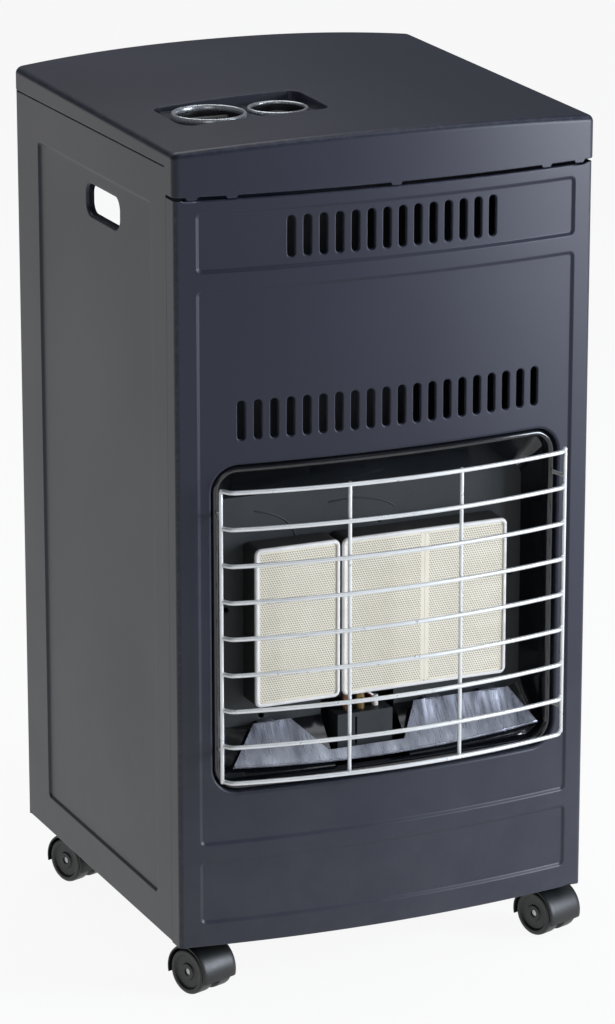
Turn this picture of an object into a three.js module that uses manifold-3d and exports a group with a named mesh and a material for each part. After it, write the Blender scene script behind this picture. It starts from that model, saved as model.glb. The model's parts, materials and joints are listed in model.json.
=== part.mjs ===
// A portable gas cabinet heater: a sheet-metal cabinet on four twin-wheel casters, with a bowed
// front, a wire guard over three ceramic plaques, a crowned lid with a sunk control well, and a
// lift-off rear cover over the bottle compartment.
// Millimetres. x runs across, y from the front corners to the rear, z up. Shapes are drawn in the
// cabinet's own frame, whose z is 0 at the lower edge of the panels.
import * as THREE from "three";
import { mergeVertices } from "three/addons/utils/BufferGeometryUtils.js";
import Module from "manifold-3d";

const wasm = await Module();
wasm.setup();

// ---------------------------------------------------------------- driving dimensions

// Cabinet
const CABINET_WIDTH = 400;
const CABINET_DEPTH = 382;
const SIDE_HEIGHT = 709;
const HALF_WIDTH = CABINET_WIDTH / 2;
const SHEET = 1.2;
const SEAT = 0.3; // gap kept where one piece rests on another
const FLOOR_GAP = 52; // from the floor to the lower edge of the panels

// Front panel
const FRONT_DROP = 27; // from the top of the sides to the top of the front panel
const FRONT_HEIGHT = SIDE_HEIGHT - FRONT_DROP;
const FRONT_BOW = 18;
const FRONT_RETURN = 19; // depth of its folded sides
const FRONT_CORNER = 5;
const FRONT_FOOT_LIP = 15; // depth of its folded lower and upper edges
const FRONT_TOP_LIP = 10;
const FIELD_MARGIN = 18;
const FIELD_HALF = HALF_WIDTH - FIELD_MARGIN; // the three sunk fields
const FIELD_SINK = 2;
const FIELD_SLOPE = 4;
const FIELD_TOP_MARGIN = 10;
const TOP_FIELD_HEIGHT = 55;
const FIELD_GAP = 13;
const TOP_FIELD_LOW = FRONT_HEIGHT - FIELD_TOP_MARGIN - TOP_FIELD_HEIGHT;
const FIELDS = [
  [21, 82],
  [95, TOP_FIELD_LOW - FIELD_GAP],
  [TOP_FIELD_LOW, FRONT_HEIGHT - FIELD_TOP_MARGIN],
];

// Heat window in the front panel
const WINDOW_MARGIN = 29; // from the sides of the cabinet
const WINDOW = {
  x0: WINDOW_MARGIN - HALF_WIDTH,
  x1: HALF_WIDTH - WINDOW_MARGIN,
  z0: 140,
  z1: 447,
  radius: 27,
};
const WINDOW_LIP = 9; // depth of its rolled edge
const WINDOW_LIP_ROLL = 3;

// Vent slots: a row in the upper field and a row over the window
const SLOT_WIDTH = 6.6;
const UPPER_SLOT_RISE = 10;
const UPPER_SLOT_LENGTH = 36;
const LOWER_SLOT_RISE = 20;
const LOWER_SLOT_LENGTH = 35;
const upperSlotLow = TOP_FIELD_LOW + UPPER_SLOT_RISE;
const lowerSlotLow = WINDOW.z1 + LOWER_SLOT_RISE;
const SLOT_ROWS = [
  { count: 14, pitch: 14.8, low: upperSlotLow, high: upperSlotLow + UPPER_SLOT_LENGTH },
  { count: 20, pitch: 14.9, low: lowerSlotLow, high: lowerSlotLow + LOWER_SLOT_LENGTH },
];

// Side panels
const SIDE_LIP = 10;
const SIDE_REAR_LIP = 18;
const SIDE_FIELD_DROP = 37; // from the top of the side to its sunk field
const SIDE_FIELD_REAR = 54; // from the rear of the side to its sunk field
const SIDE_FIELD = {
  y0: 52,
  y1: CABINET_DEPTH - SIDE_FIELD_REAR,
  z0: 34,
  z1: SIDE_HEIGHT - SIDE_FIELD_DROP,
};
const HANDLE_DROP = 16; // from the top of the field to the hand hole
const HANDLE_HEIGHT = 27;
const HANDLE_TOP = SIDE_FIELD.z1 - HANDLE_DROP;
const HANDLE = { y0: 133, y1: 210, z0: HANDLE_TOP - HANDLE_HEIGHT, z1: HANDLE_TOP, radius: 10 };
const HANDLE_ROLL = 6;
const TONGUE = { reach: 11, rear: 12, joggle: 4, foot: 16, head: 12 };

// Base pan, partition and rear rail
const PAN_SHEET = 1.6;
const PAN_WALL = 24;
const PAN_FRONT = 6;
const PAN_VENTS = [-60, 0, 60];
const PAN_VENT = { length: 40, y0: 60, y1: 72 };
const BOTTLE_SEAT = { half: 140, front: 20, rear: 14, rise: 1.2 }; // its gaps to the partition and rear
const PARTITION_Y = 92;
const PARTITION_DROP = 17;
const PARTITION_TOP = SIDE_HEIGHT - PARTITION_DROP;
const PARTITION_FOOT = { inset: 30, depth: 14 };
const PARTITION_HEAD = { inset: 10, depth: 12 };
const RAIL_DROP = 35;
const RAIL_LOW = SIDE_HEIGHT - RAIL_DROP;
const RAIL_LIP = 14;

// Lid
const LID_SHEET = 1.6;
const LID_OVERHANG = 1.2;
const FASCIA_GAP = 3; // over the front panel
const FASCIA_LOW = FRONT_HEIGHT + FASCIA_GAP;
const LID_RISE = 14.5;
const LID_EDGE = SIDE_HEIGHT + LID_RISE; // height of its top at the front corners
const LID_REAR_RISE = 7;
const LID_CROWN_FRONT = 8;
const LID_CROWN_REAR = 11.5;
const LID_ROUND = 6;
const LID_BUMP_WIDTH = 9;
const LID_BUMP_MARGINS = [15, 50];
const LID_BUMPS = [0, ...LID_BUMP_MARGINS.flatMap((m) => [m - HALF_WIDTH, HALF_WIDTH - m])];

// Control well
const WELL_RISE = 2.5; // of the well's floor over the lid's front corners
const WELL = { x0: -158, x1: -19, y0: 78, y1: 154, floor: LID_EDGE + WELL_RISE, radius: 10 };
const DIAL = { x: -119, y: 116, bore: 30, depth: 24, ring: 5 };
const IGNITER = { x: -50, y: 123, bore: 24, depth: 17, ring: 2.8 };
const CUP_WALL = 1.4;
const TRAY_SHEET = 1.6;
const RING_WIDTH = 3.6;
const KNOB_RADIUS = 22;
const KNOB_HEIGHT = 9;
const KNOB_GRIP = { length: 40, width: 9, height: 11 };
const KNOB_PRESS = 4;
const SPINDLE_RADIUS = 4;
const BUTTON_RADIUS = 12;
const BUTTON_HEIGHT = 8;
const BUTTON_TRAVEL = 6;
const BUTTON_STEM = 4;
const RUNNING = 0.5; // radial clearance round what turns or slides

// Gas valve and igniter under the lid
const SHELF = { x0: -170, x1: 30, depth: 106, lip: 30 };
const VALVE = { width: 38, depth: 38, height: 34 };
const MAGNET = { radius: 9, length: 22 };
const HOSE_TAIL = {
  radius: 5,
  barb: 6.4,
  length: 34,
  bore: 3,
  collar: 8,
  collarLength: 9,
  firstBarb: 12,
  pitch: 7,
};
const PIEZO = { radius: 9, length: 44, neck: 6, nut: 1.5 };

// Burners
const BURNER_LOW = 214;
const BURNER_HIGH = 361;
const BURNER_FRONT = 6;
const BURNER_SKIN = 1;
const BURNER_LIP = 3.6;
const BURNER_RADIUS = 6;
const BURNERS = [
  { name: "left", x0: -123.5, x1: -41, plaques: 1, side: -1 },
  { name: "right", x0: -39, x1: 123.5, plaques: 2, side: 1 },
];
const PLAQUE_THICK = 13;
const PLENUM_REAR = 60;
const MIXER_RADIUS = 11;
const MIXER_BLIND = 8; // from the burner's inner side to the closed end of its mixing tube
const MIXER_END_WALL = 3;
const MIXER_HEIGHT = 26; // above the burner's lower edge
const MIXER_REACH = 4.5; // of each mixing tube's mouth beyond its burner
const INJECTOR = { cap: 13, body: 7, length: 18, bore: 1.5 };

// Firebox
const CHASSIS_Y = 33.5;
const THROAT_MARGIN = 21;
const THROAT = {
  x0: WINDOW.x0 + THROAT_MARGIN,
  x1: WINDOW.x1 - THROAT_MARGIN,
  z0: 190,
  z1: 403,
  radius: 12,
}; // rear mouth of the surround
const CHASSIS_RIM = 10;
const CHASSIS = { half: THROAT.x1 + CHASSIS_RIM, z0: THROAT.z0 - CHASSIS_RIM, z1: THROAT.z1 + CHASSIS_RIM };
const BEZEL_WIDTH = 12;
const BEZEL_DEPTH = 14;
const SURROUND_SKIN = 1.2;
const PILOT_GATE = { x0: -48, x1: 24, z1: 204 };
const REFLECTOR_GAP = 3; // from its right front corner to the bezel
const REFLECTOR_HALF = WINDOW.x1 - BEZEL_WIDTH - REFLECTOR_GAP;
const REFLECTOR = {
  front: -3,
  low: 155.4,
  run: 27,
  rise: 38,
  skin: 0.8,
  half: REFLECTOR_HALF,
  left: 9 - REFLECTOR_HALF, // its left front corner stands further in than the right one
  bow: 9,
  leftWing: [38 - REFLECTOR_HALF, 74 - REFLECTOR_HALF],
  notch: [-52, 22],
  notchDepth: 13,
  rightWing: [40, REFLECTOR_HALF - 21],
  tabs: [52 - REFLECTOR_HALF, REFLECTOR_HALF - 96, REFLECTOR_HALF - 40],
  tabWidth: 16,
};
const PILOT_BOX = { x0: -40, x1: 14, y0: 14, y1: 36, z0: 160, z1: 194 };
const PIPE_RADIUS = 3;
const THIN_PIPE_RADIUS = 2;

// Wire guard
const WIRE_RADIUS = 2;
const POST_RADIUS = 1.8;
const GUARD_GAP = 4; // from its side posts to the window's sides
const GUARD_RETURN = 6; // run of its level wires from their bends to the side posts
const GUARD = {
  half: WINDOW.x1 - GUARD_GAP,
  end: WINDOW.x1 - GUARD_GAP - GUARD_RETURN,
  low: 160.5,
  high: 427,
  rows: 9,
  face: -28,
  bow: 19,
  post: -20,
};
const GUARD_POSTS = [-54, 54];
const GUARD_FEET = [184, 402];
const GUARD_FOOT_LEAN = 3.5;
const GUARD_FOOT_X = GUARD.half - GUARD_FOOT_LEAN;

// Rear cover
const COVER_MARGIN = 3; // from the sides of the cabinet
const COVER_DROP = 179; // from the top of the sides
const COVER = {
  half: HALF_WIDTH - COVER_MARGIN,
  z0: 4,
  z1: SIDE_HEIGHT - COVER_DROP,
  lip: 8,
  field: 40,
  hem: 26,
  slope: 5,
};
const COVER_LIFT = 12;
const HOOK_MARGIN = 8; // from the sides of the cover
const UPPER_HOOK_DROP = 75;
const HOOK = {
  x: COVER.half - HOOK_MARGIN,
  width: 8,
  thick: 2,
  drop: 8,
  heights: [90, COVER.z1 - UPPER_HOOK_DROP],
};
const COVER_SLOT_LENGTH = 42;
const COVER_SLOT_DROP = 48; // from the top of the cover
const upperVentTop = COVER.z1 - COVER_SLOT_DROP;
const COVER_SLOTS = {
  count: 7,
  pitch: 32,
  width: 8,
  rows: [
    [50, 50 + COVER_SLOT_LENGTH],
    [upperVentTop - COVER_SLOT_LENGTH, upperVentTop],
  ],
};

// Casters
const CASTER_MARGIN = 26; // from the sides of the cabinet
const CASTER_X = HALF_WIDTH - CASTER_MARGIN;
const CASTER_FRONT_Y = 38;
const CASTER_REAR_MARGIN = 40;
const CASTER_REAR_Y = CABINET_DEPTH - CASTER_REAR_MARGIN;
const CASTER_TURN = -70; // degrees from +x that each one trails to
const CASTERS = [
  { name: "front_left", x: -CASTER_X, y: CASTER_FRONT_Y },
  { name: "front_right", x: CASTER_X, y: CASTER_FRONT_Y },
  { name: "rear_left", x: -CASTER_X, y: CASTER_REAR_Y },
  { name: "rear_right", x: CASTER_X, y: CASTER_REAR_Y },
];
const WHEEL_RADIUS = 21; // to the flats of its faceted tread
const WHEEL_SIDES = 16;
const WHEEL_WIDTH = 14;
const HOOD_RADIUS = 25.5;
const HOOD_SKIN = 2.6;
const HOOD_WEB = 8;
const CASTER_TRAIL = 14;
const CASTER_PLATE = 30;
const CASTER_PLATE_THICK = 2;
const STEM_RADIUS = 4.5;
const STEM_BOSS = 9;
const AXLE_RADIUS = 3;

// ---------------------------------------------------------------- materials

const finish = (color, roughness, metalness) => ({ color, roughness, metalness });
const CHARCOAL = finish(0x3d424d, 0.42, 0.35);
const DARK_STEEL = finish(0x2c2f33, 0.55, 0.5);
const BLACK_ENAMEL = finish(0x101214, 0.12, 0.1);
const BRIGHT_WIRE = finish(0xd6d8d8, 0.3, 0.9);
const BRIGHT_SHEET = finish(0x9a9ea8, 0.22, 0.95);
const GALVANISED = finish(0xd9d9d6, 0.45, 0.6);
const CERAMIC = finish(0xd6d2c4, 0.9, 0);
const BLACK_PLASTIC = finish(0x15171a, 0.5, 0);
const CHROME = finish(0xd8dadc, 0.1, 1);
const BRASS = finish(0xb8954a, 0.35, 0.9);
const COPPER = finish(0xa8633c, 0.4, 0.9);
const CAST_ALLOY = finish(0x8d9094, 0.5, 0.8);
const RED_LEAD = finish(0x8c2a1f, 0.6, 0);
const WHEEL_PLASTIC = finish(0x121414, 0.45, 0);

// ---------------------------------------------------------------- geometry helpers

const radians = THREE.MathUtils.degToRad;
const halfInside = HALF_WIDTH - SHEET;
const bowAt = (x) => -FRONT_BOW * (1 - (x / HALF_WIDTH) ** 2);

// A three.js geometry as a solid that can be joined and cut.
function solid(geometry) {
  const bare = geometry.clone();
  bare.deleteAttribute("normal");
  bare.deleteAttribute("uv");
  const merged = mergeVertices(bare, 1e-4);
  const corners = Array.from(merged.index.array);
  const kept = [];
  for (let i = 0; i < corners.length; i += 3) {
    const [a, b, c] = corners.slice(i, i + 3);
    if (a !== b && b !== c && c !== a) kept.push(a, b, c);
  }
  return new wasm.Manifold(
    new wasm.Mesh({
      numProp: 3,
      vertProperties: merged.attributes.position.array,
      triVerts: new Uint32Array(kept),
    }),
  );
}

const join = (first, ...others) => others.reduce((sum, other) => sum.add(other), first);
const cut = (body, ...tools) => tools.reduce((rest, tool) => rest.subtract(tool), body);

// A solid as a flat-shaded three.js geometry.
function geometryOf(body) {
  const mesh = body.getMesh();
  const geometry = new THREE.BufferGeometry();
  geometry.setAttribute("position", new THREE.BufferAttribute(mesh.vertProperties, 3));
  geometry.setIndex(new THREE.BufferAttribute(mesh.triVerts, 1));
  const faceted = geometry.toNonIndexed();
  faceted.computeVertexNormals();
  return faceted;
}

// A closed surface from its points and faces, turned outwards.
function closedSurface(points, faces) {
  let volume = 0;
  const corner = faces.map((face) => face.map((i) => new THREE.Vector3(...points[i])));
  for (const [a, b, c] of corner) volume += a.dot(b.cross(c));
  const geometry = new THREE.BufferGeometry();
  geometry.setAttribute("position", new THREE.Float32BufferAttribute(points.flat(), 3));
  geometry.setIndex(faces.flatMap(([a, b, c]) => (volume < 0 ? [a, c, b] : [a, b, c])));
  return solid(geometry);
}

// A sheet between two equal grids of points, closed round its rim.
function skin(outer, inner) {
  const rows = outer.length;
  const columns = outer[0].length;
  const at = (side, i, j) => (side * rows + i) * columns + j;
  const faces = [];
  const quad = (a, b, c, d) => faces.push([a, b, c], [a, c, d]);
  for (let i = 0; i < rows - 1; i++) {
    for (let j = 0; j < columns - 1; j++) {
      quad(at(0, i, j), at(0, i, j + 1), at(0, i + 1, j + 1), at(0, i + 1, j));
      quad(at(1, i, j), at(1, i + 1, j), at(1, i + 1, j + 1), at(1, i, j + 1));
    }
    quad(at(1, i, 0), at(0, i, 0), at(0, i + 1, 0), at(1, i + 1, 0));
    const last = columns - 1;
    quad(at(0, i, last), at(1, i, last), at(1, i + 1, last), at(0, i + 1, last));
  }
  for (let j = 0; j < columns - 1; j++) {
    const top = rows - 1;
    quad(at(1, 0, j), at(1, 0, j + 1), at(0, 0, j + 1), at(0, 0, j));
    quad(at(0, top, j), at(0, top, j + 1), at(1, top, j + 1), at(1, top, j));
  }
  return closedSurface([...outer.flat(), ...inner.flat()], faces);
}

// A hoop swept through equal rings of points, the last ring joined to the first.
function hoop(rings) {
  const count = rings[0].length;
  const faces = [];
  rings.forEach((_, k) => {
    const next = (k + 1) % rings.length;
    for (let i = 0; i < count; i++) {
      const j = (i + 1) % count;
      faces.push([k * count + i, k * count + j, next * count + j]);
      faces.push([k * count + i, next * count + j, next * count + i]);
    }
  });
  return closedSurface(rings.flat(), faces);
}

// An upright slot with round ends, drawn in x and z.
function stadium(x, low, high, width) {
  const r = width / 2;
  const shape = new THREE.Shape();
  shape.absarc(x, high - r, r, 0, Math.PI, false);
  shape.absarc(x, low + r, r, Math.PI, 2 * Math.PI, false);
  return shape;
}

// Points [x, z] round an upright rounded rectangle, its level sides split to follow the bow.
const CORNER_STEPS = 4;
const LEVEL_STEPS = 6;
function rectangleRing(frame, inset, cornerSteps = CORNER_STEPS, sideSteps = LEVEL_STEPS) {
  const r = frame.radius - inset;
  const [x0, x1] = [frame.x0 + inset + r, frame.x1 - inset - r];
  const [z0, z1] = [frame.z0 + inset + r, frame.z1 - inset - r];
  const corners = [[x1, z1], [x0, z1], [x0, z0], [x1, z0]];
  const points = [];
  corners.forEach(([x, z], k) => {
    for (let s = 0; s <= cornerSteps; s++) {
      const angle = radians(90 * (k + s / cornerSteps));
      points.push([x + r * Math.cos(angle), z + r * Math.sin(angle)]);
    }
    const level = k % 2 === 0;
    const nextX = corners[(k + 1) % 4][0];
    for (let s = 1; level && s < sideSteps; s++) {
      points.push([x + ((nextX - x) * s) / sideSteps, points.at(-s)[1]]);
    }
  });
  return points;
}

function box(x0, x1, y0, y1, z0, z1) {
  const geometry = new THREE.BoxGeometry(x1 - x0, y1 - y0, z1 - z0);
  return solid(geometry.translate((x0 + x1) / 2, (y0 + y1) / 2, (z0 + z1) / 2));
}

function roundedShape(x0, x1, y0, y1, r) {
  const shape = new THREE.Shape();
  shape.absarc(x1 - r, y0 + r, r, radians(-90), 0, false);
  shape.absarc(x1 - r, y1 - r, r, 0, radians(90), false);
  shape.absarc(x0 + r, y1 - r, r, radians(90), radians(180), false);
  shape.absarc(x0 + r, y0 + r, r, radians(180), radians(270), false);
  return shape;
}

const extruded = (shape, depth, curveSegments) =>
  new THREE.ExtrudeGeometry(shape, { depth, curveSegments, bevelEnabled: false });

// Shapes drawn in XY, XZ or YZ, given their thickness along the third axis.
const slabZ = (shape, z0, z1, segments = 5) =>
  solid(extruded(shape, z1 - z0, segments).translate(0, 0, z0));
const slabY = (shape, y0, y1, segments = 5) =>
  solid(extruded(shape, y1 - y0, segments).rotateX(radians(90)).translate(0, y1, 0));
function slabX(shape, x0, x1, segments = 5) {
  const axes = [new THREE.Vector3(0, 1, 0), new THREE.Vector3(0, 0, 1), new THREE.Vector3(1, 0, 0)];
  const turned = new THREE.Matrix4().makeBasis(...axes);
  return solid(extruded(shape, x1 - x0, segments).applyMatrix4(turned).translate(x0, 0, 0));
}

// A round bar from one point to another.
function bar(from, to, radius, sides = 16) {
  const start = new THREE.Vector3(...from);
  const run = new THREE.Vector3(...to).sub(start);
  const geometry = new THREE.CylinderGeometry(radius, radius, run.length(), sides);
  geometry.translate(0, run.length() / 2, 0);
  const turn = new THREE.Quaternion().setFromUnitVectors(
    new THREE.Vector3(0, 1, 0),
    run.clone().normalize(),
  );
  return solid(geometry.applyQuaternion(turn).translate(...from));
}

// A turned piece: [radius, height] points round the z axis, closed on themselves or on the axis.
function turned(profile, sides = 24) {
  const points = profile.map(([r, h]) => new THREE.Vector2(r, h));
  const geometry = new THREE.LatheGeometry(points, sides).rotateX(radians(90));
  const merged = mergeVertices(geometry.deleteAttribute("normal").deleteAttribute("uv"), 1e-4);
  const position = merged.attributes.position;
  const list = Array.from({ length: position.count }, (_, i) => [
    position.getX(i),
    position.getY(i),
    position.getZ(i),
  ]);
  const faces = [];
  for (let i = 0; i < merged.index.count; i += 3) {
    const face = [0, 1, 2].map((k) => merged.index.getX(i + k));
    if (new Set(face).size === 3) faces.push(face);
  }
  return closedSurface(list, faces);
}

// A round tube or wire with a ring of points at each bend, closed at both ends.
function wire(points, radius, sides = 6) {
  const line = points.map((p) => new THREE.Vector3(...p));
  const last = line.length - 1;
  const across = new THREE.Vector3(0.3, 0.2, 1);
  const rings = line.flatMap((centre, i) => {
    const before = line[Math.max(i - 1, 0)];
    const after = line[Math.min(i + 1, last)];
    const into = centre.clone().sub(before).normalize();
    const away = after.clone().sub(centre).normalize();
    const along = into.add(away).normalize();
    across.addScaledVector(along, -across.dot(along)).normalize();
    const up = along.cross(across);
    return Array.from({ length: sides }, (_, k) => {
      const angle = (2 * Math.PI * k) / sides;
      const rim = across.clone().multiplyScalar(Math.cos(angle)).addScaledVector(up, Math.sin(angle));
      return rim.multiplyScalar(radius).add(centre).toArray();
    });
  });
  const faces = [];
  for (let k = 0; k < sides; k++) {
    const next = (k + 1) % sides;
    for (let i = 0; i < last; i++) {
      const [a, b] = [i * sides, (i + 1) * sides];
      faces.push([a + k, b + k, b + next], [a + k, b + next, a + next]);
    }
    if (k > 1) {
      const end = last * sides;
      faces.push([0, k - 1, k], [end, end + k, end + k - 1]);
    }
  }
  return closedSurface(rings, faces);
}

// ---------------------------------------------------------------- cabinet shell

// Plan of the front panel: [outer, inner] pairs of [x, y] from its left return to its right one.
function frontPlan() {
  const cornerX = HALF_WIDTH - FRONT_CORNER;
  const cornerY = bowAt(cornerX) + FRONT_CORNER;
  const innerRadius = FRONT_CORNER - SHEET;
  const sweep = [180, 210, 240].map((angle) =>
    [FRONT_CORNER, innerRadius].map((r) => [
      -cornerX + r * Math.cos(radians(angle)),
      cornerY + r * Math.sin(radians(angle)),
    ]),
  );
  const left = [[[-HALF_WIDTH, FRONT_RETURN], [-halfInside, FRONT_RETURN]], ...sweep];
  const right = left.map((pair) => pair.map(([x, y]) => [-x, y])).reverse();
  const inField = FIELD_HALF - FIELD_SLOPE;
  const bays = 10;
  const across = Array.from({ length: bays + 1 }, (_, i) => inField * ((2 * i) / bays - 1));
  const stations = [-cornerX, -FIELD_HALF, ...across, FIELD_HALF, cornerX];
  const face = stations.map((x) => [[x, bowAt(x)], [x, bowAt(x) + SHEET]]);
  return [...left, ...face, ...right];
}

function fieldSink(x, z) {
  const inside = Math.abs(x) < FIELD_HALF - FIELD_SLOPE + SEAT;
  const level = FIELDS.some(([low, high]) => z > low + FIELD_SLOPE / 2 && z < high - FIELD_SLOPE / 2);
  return inside && level ? FIELD_SINK : 0;
}

// A level strip that follows the bow, for the folded edges of the front panel.
function bowStrip(z0, z1, rear) {
  const half = HALF_WIDTH - FRONT_CORNER;
  const steps = 10;
  const shape = new THREE.Shape();
  shape.moveTo(-half, rear);
  for (let i = 0; i <= steps; i++) {
    const x = half * ((2 * i) / steps - 1);
    shape.lineTo(x, bowAt(x) + SHEET * 0.9);
  }
  shape.lineTo(half, rear);
  return slabZ(shape, z0, z1);
}

function slotRow({ count, pitch, low, high }, width, y0, y1) {
  return Array.from({ length: count }, (_, i) => {
    const x = (i - (count - 1) / 2) * pitch;
    return slabY(stadium(x, low, high, width), y0, y1, 3);
  });
}

// A ring that follows the bowed, sunk field round the window: [inset, depth] gives its place.
const windowRing = (inset, depth) =>
  rectangleRing(WINDOW, inset).map(([x, z]) => [x, bowAt(x) + FIELD_SINK + depth, z]);

function frontPanel() {
  const plan = frontPlan();
  const levels = FIELDS.flatMap(([low, high]) => [low, low + FIELD_SLOPE, high - FIELD_SLOPE, high]);
  const rows = [0, ...levels, FRONT_HEIGHT];
  const grid = (side) =>
    rows.map((z) => plan.map((pair) => [pair[side][0], pair[side][1] + fieldSink(pair[0][0], z), z]));
  const roll = WINDOW_LIP_ROLL;
  const lip = hoop(
    [
      [-1, SHEET * 0.2],
      [roll * 0.5, SHEET * 0.4],
      [roll, roll],
      [roll, WINDOW_LIP],
      [roll - SHEET, WINDOW_LIP],
      [-1, SHEET * 0.9],
    ].map(([inset, depth]) => windowRing(inset, depth)),
  );
  const opening = roundedShape(WINDOW.x0, WINDOW.x1, WINDOW.z0, WINDOW.z1, WINDOW.radius);
  const reach = 2 * FRONT_BOW;
  const sheet = cut(
    skin(grid(0), grid(1)),
    slabY(opening, -reach, reach),
    ...SLOT_ROWS.flatMap((row) => slotRow(row, SLOT_WIDTH, -reach, reach)),
  );
  return join(
    sheet,
    lip,
    bowStrip(0, SHEET, FRONT_FOOT_LIP),
    bowStrip(FRONT_HEIGHT - SHEET, FRONT_HEIGHT, FRONT_TOP_LIP),
  );
}

// side is -1 on the left and 1 on the right.
function sidePanel(side) {
  const { y0, y1, z0, z1 } = SIDE_FIELD;
  const front = FRONT_RETURN + SEAT;
  const columns = [front, y0, y0 + FIELD_SLOPE, y1 - FIELD_SLOPE, y1, CABINET_DEPTH];
  const rows = [0, z0, z0 + FIELD_SLOPE, z1 - FIELD_SLOPE, z1, SIDE_HEIGHT];
  const sunk = (i, j) => i > 1 && i < 4 && j > 1 && j < 4;
  const grid = (thick) =>
    rows.map((z, i) =>
      columns.map((y, j) => [side * (HALF_WIDTH - thick - (sunk(i, j) ? FIELD_SINK : 0)), y, z]),
    );
  const across = (near, far) => [side * near, side * far].sort((a, b) => a - b);
  const lip = (width, ...rest) => box(...across(HALF_WIDTH - width, HALF_WIDTH - SHEET / 2), ...rest);
  const tongueFace = halfInside - SEAT;
  const tongue = box(
    ...across(tongueFace - SHEET, tongueFace),
    FRONT_RETURN - TONGUE.reach,
    FRONT_RETURN + TONGUE.rear,
    PAN_WALL + TONGUE.foot,
    FRONT_HEIGHT - TONGUE.head,
  );
  const joggle = box(
    ...across(tongueFace - SHEET, halfInside + SHEET / 2),
    FRONT_RETURN + TONGUE.joggle,
    FRONT_RETURN + TONGUE.rear,
    PAN_WALL + TONGUE.foot,
    FRONT_HEIGHT - TONGUE.head,
  );
  const { radius } = HANDLE;
  const hole = roundedShape(HANDLE.y0, HANDLE.y1, HANDLE.z0, HANDLE.z1, radius);
  const rim = roundedShape(
    HANDLE.y0 - SHEET,
    HANDLE.y1 + SHEET,
    HANDLE.z0 - SHEET,
    HANDLE.z1 + SHEET,
    radius + SHEET,
  );
  const hookSlots = HOOK.heights.map((z) =>
    box(
      ...across(HOOK.x - HOOK.width / 2 - 1, HOOK.x + HOOK.width / 2 + 1),
      CABINET_DEPTH - 2 * SHEET,
      CABINET_DEPTH + SHEET,
      z - SEAT,
      z + HOOK.thick + COVER_LIFT + 1,
    ),
  );
  const shell = join(
    skin(grid(0), grid(SHEET)),
    lip(SIDE_REAR_LIP, CABINET_DEPTH - SHEET, CABINET_DEPTH, 0, SIDE_HEIGHT),
    lip(SIDE_LIP, front, CABINET_DEPTH, SIDE_HEIGHT - SHEET, SIDE_HEIGHT),
    lip(SIDE_LIP, front, CABINET_DEPTH, 0, SHEET),
    tongue,
    joggle,
    slabX(rim, ...across(halfInside - FIELD_SINK - HANDLE_ROLL, halfInside - FIELD_SINK + 0.4)),
  );
  return cut(shell, slabX(hole, ...across(HALF_WIDTH - 30, HALF_WIDTH + 5)), ...hookSlots);
}

const panLow = SHEET + SEAT;
const panTop = panLow + PAN_SHEET;

function basePan() {
  const half = halfInside - SEAT;
  const rear = CABINET_DEPTH - SHEET - SEAT;
  const inner = (x, y0, y1) => box(-x, x, y0, y1, panTop, panTop + PAN_WALL * 2);
  const tray = cut(
    box(-half, half, PAN_FRONT, rear, panLow, panTop + PAN_WALL),
    inner(half - PAN_SHEET, PAN_FRONT + PAN_SHEET, rear - PAN_SHEET),
  );
  const { length, y0, y1 } = PAN_VENT;
  const end = (y1 - y0) / 2 - 0.1;
  const vents = PAN_VENTS.map((x) =>
    slabZ(roundedShape(x - length / 2, x + length / 2, y0, y1, end), 0, panTop + 1, 3),
  );
  const seat = box(
    -BOTTLE_SEAT.half,
    BOTTLE_SEAT.half,
    PARTITION_Y + BOTTLE_SEAT.front,
    rear - BOTTLE_SEAT.rear,
    panTop - PAN_SHEET / 2,
    panTop + BOTTLE_SEAT.rise,
  );
  return join(cut(tray, ...vents), seat);
}

// Upright wall between the burners and the bottle, with the holes that the pipes pass.
function partition() {
  const half = halfInside - FIELD_SINK - SEAT;
  const wall = box(-half, half, PARTITION_Y, PARTITION_Y + SHEET, panTop + SEAT, PARTITION_TOP);
  const foot = box(
    PARTITION_FOOT.inset - half,
    half - PARTITION_FOOT.inset,
    PARTITION_Y - PARTITION_FOOT.depth,
    PARTITION_Y + SHEET / 2,
    panTop + SEAT,
    panTop + SEAT + SHEET,
  );
  const head = box(
    PARTITION_HEAD.inset - half,
    half - PARTITION_HEAD.inset,
    PARTITION_Y - PARTITION_HEAD.depth,
    PARTITION_Y + SHEET / 2,
    PARTITION_TOP - SHEET,
    PARTITION_TOP,
  );
  const holes = pipeRuns().map(({ x, radius }) =>
    bar([x, 0, PIPE_HOLE_Z], [x, CABINET_DEPTH, PIPE_HOLE_Z], radius + PIPE_HOLE_GAP, 10),
  );
  return cut(join(wall, foot, head), ...holes);
}

function rearRail() {
  const half = halfInside - SEAT;
  const y1 = CABINET_DEPTH - SHEET - SEAT;
  const top = SIDE_HEIGHT - SHEET - SEAT;
  return join(
    box(-half, half, y1 - SHEET, y1, RAIL_LOW, top),
    box(-half, half, y1 - RAIL_LIP, y1 - SHEET / 2, RAIL_LOW, RAIL_LOW + SHEET),
    box(-half, half, y1 - RAIL_LIP, y1 - SHEET / 2, top - SHEET, top),
  );
}

// ---------------------------------------------------------------- lid

const lidFront = -LID_OVERHANG;
const lidRear = CABINET_DEPTH + LID_OVERHANG + SHEET;
const lidHalf = HALF_WIDTH + LID_OVERHANG;

function lidTop(x, y) {
  const back = Math.min(Math.max(y / CABINET_DEPTH, 0), 1);
  const crown = LID_CROWN_FRONT + (LID_CROWN_REAR - LID_CROWN_FRONT) * back;
  return LID_EDGE + LID_REAR_RISE * back + crown * (1 - Math.abs(x / lidHalf) ** 2.2);
}

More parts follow.
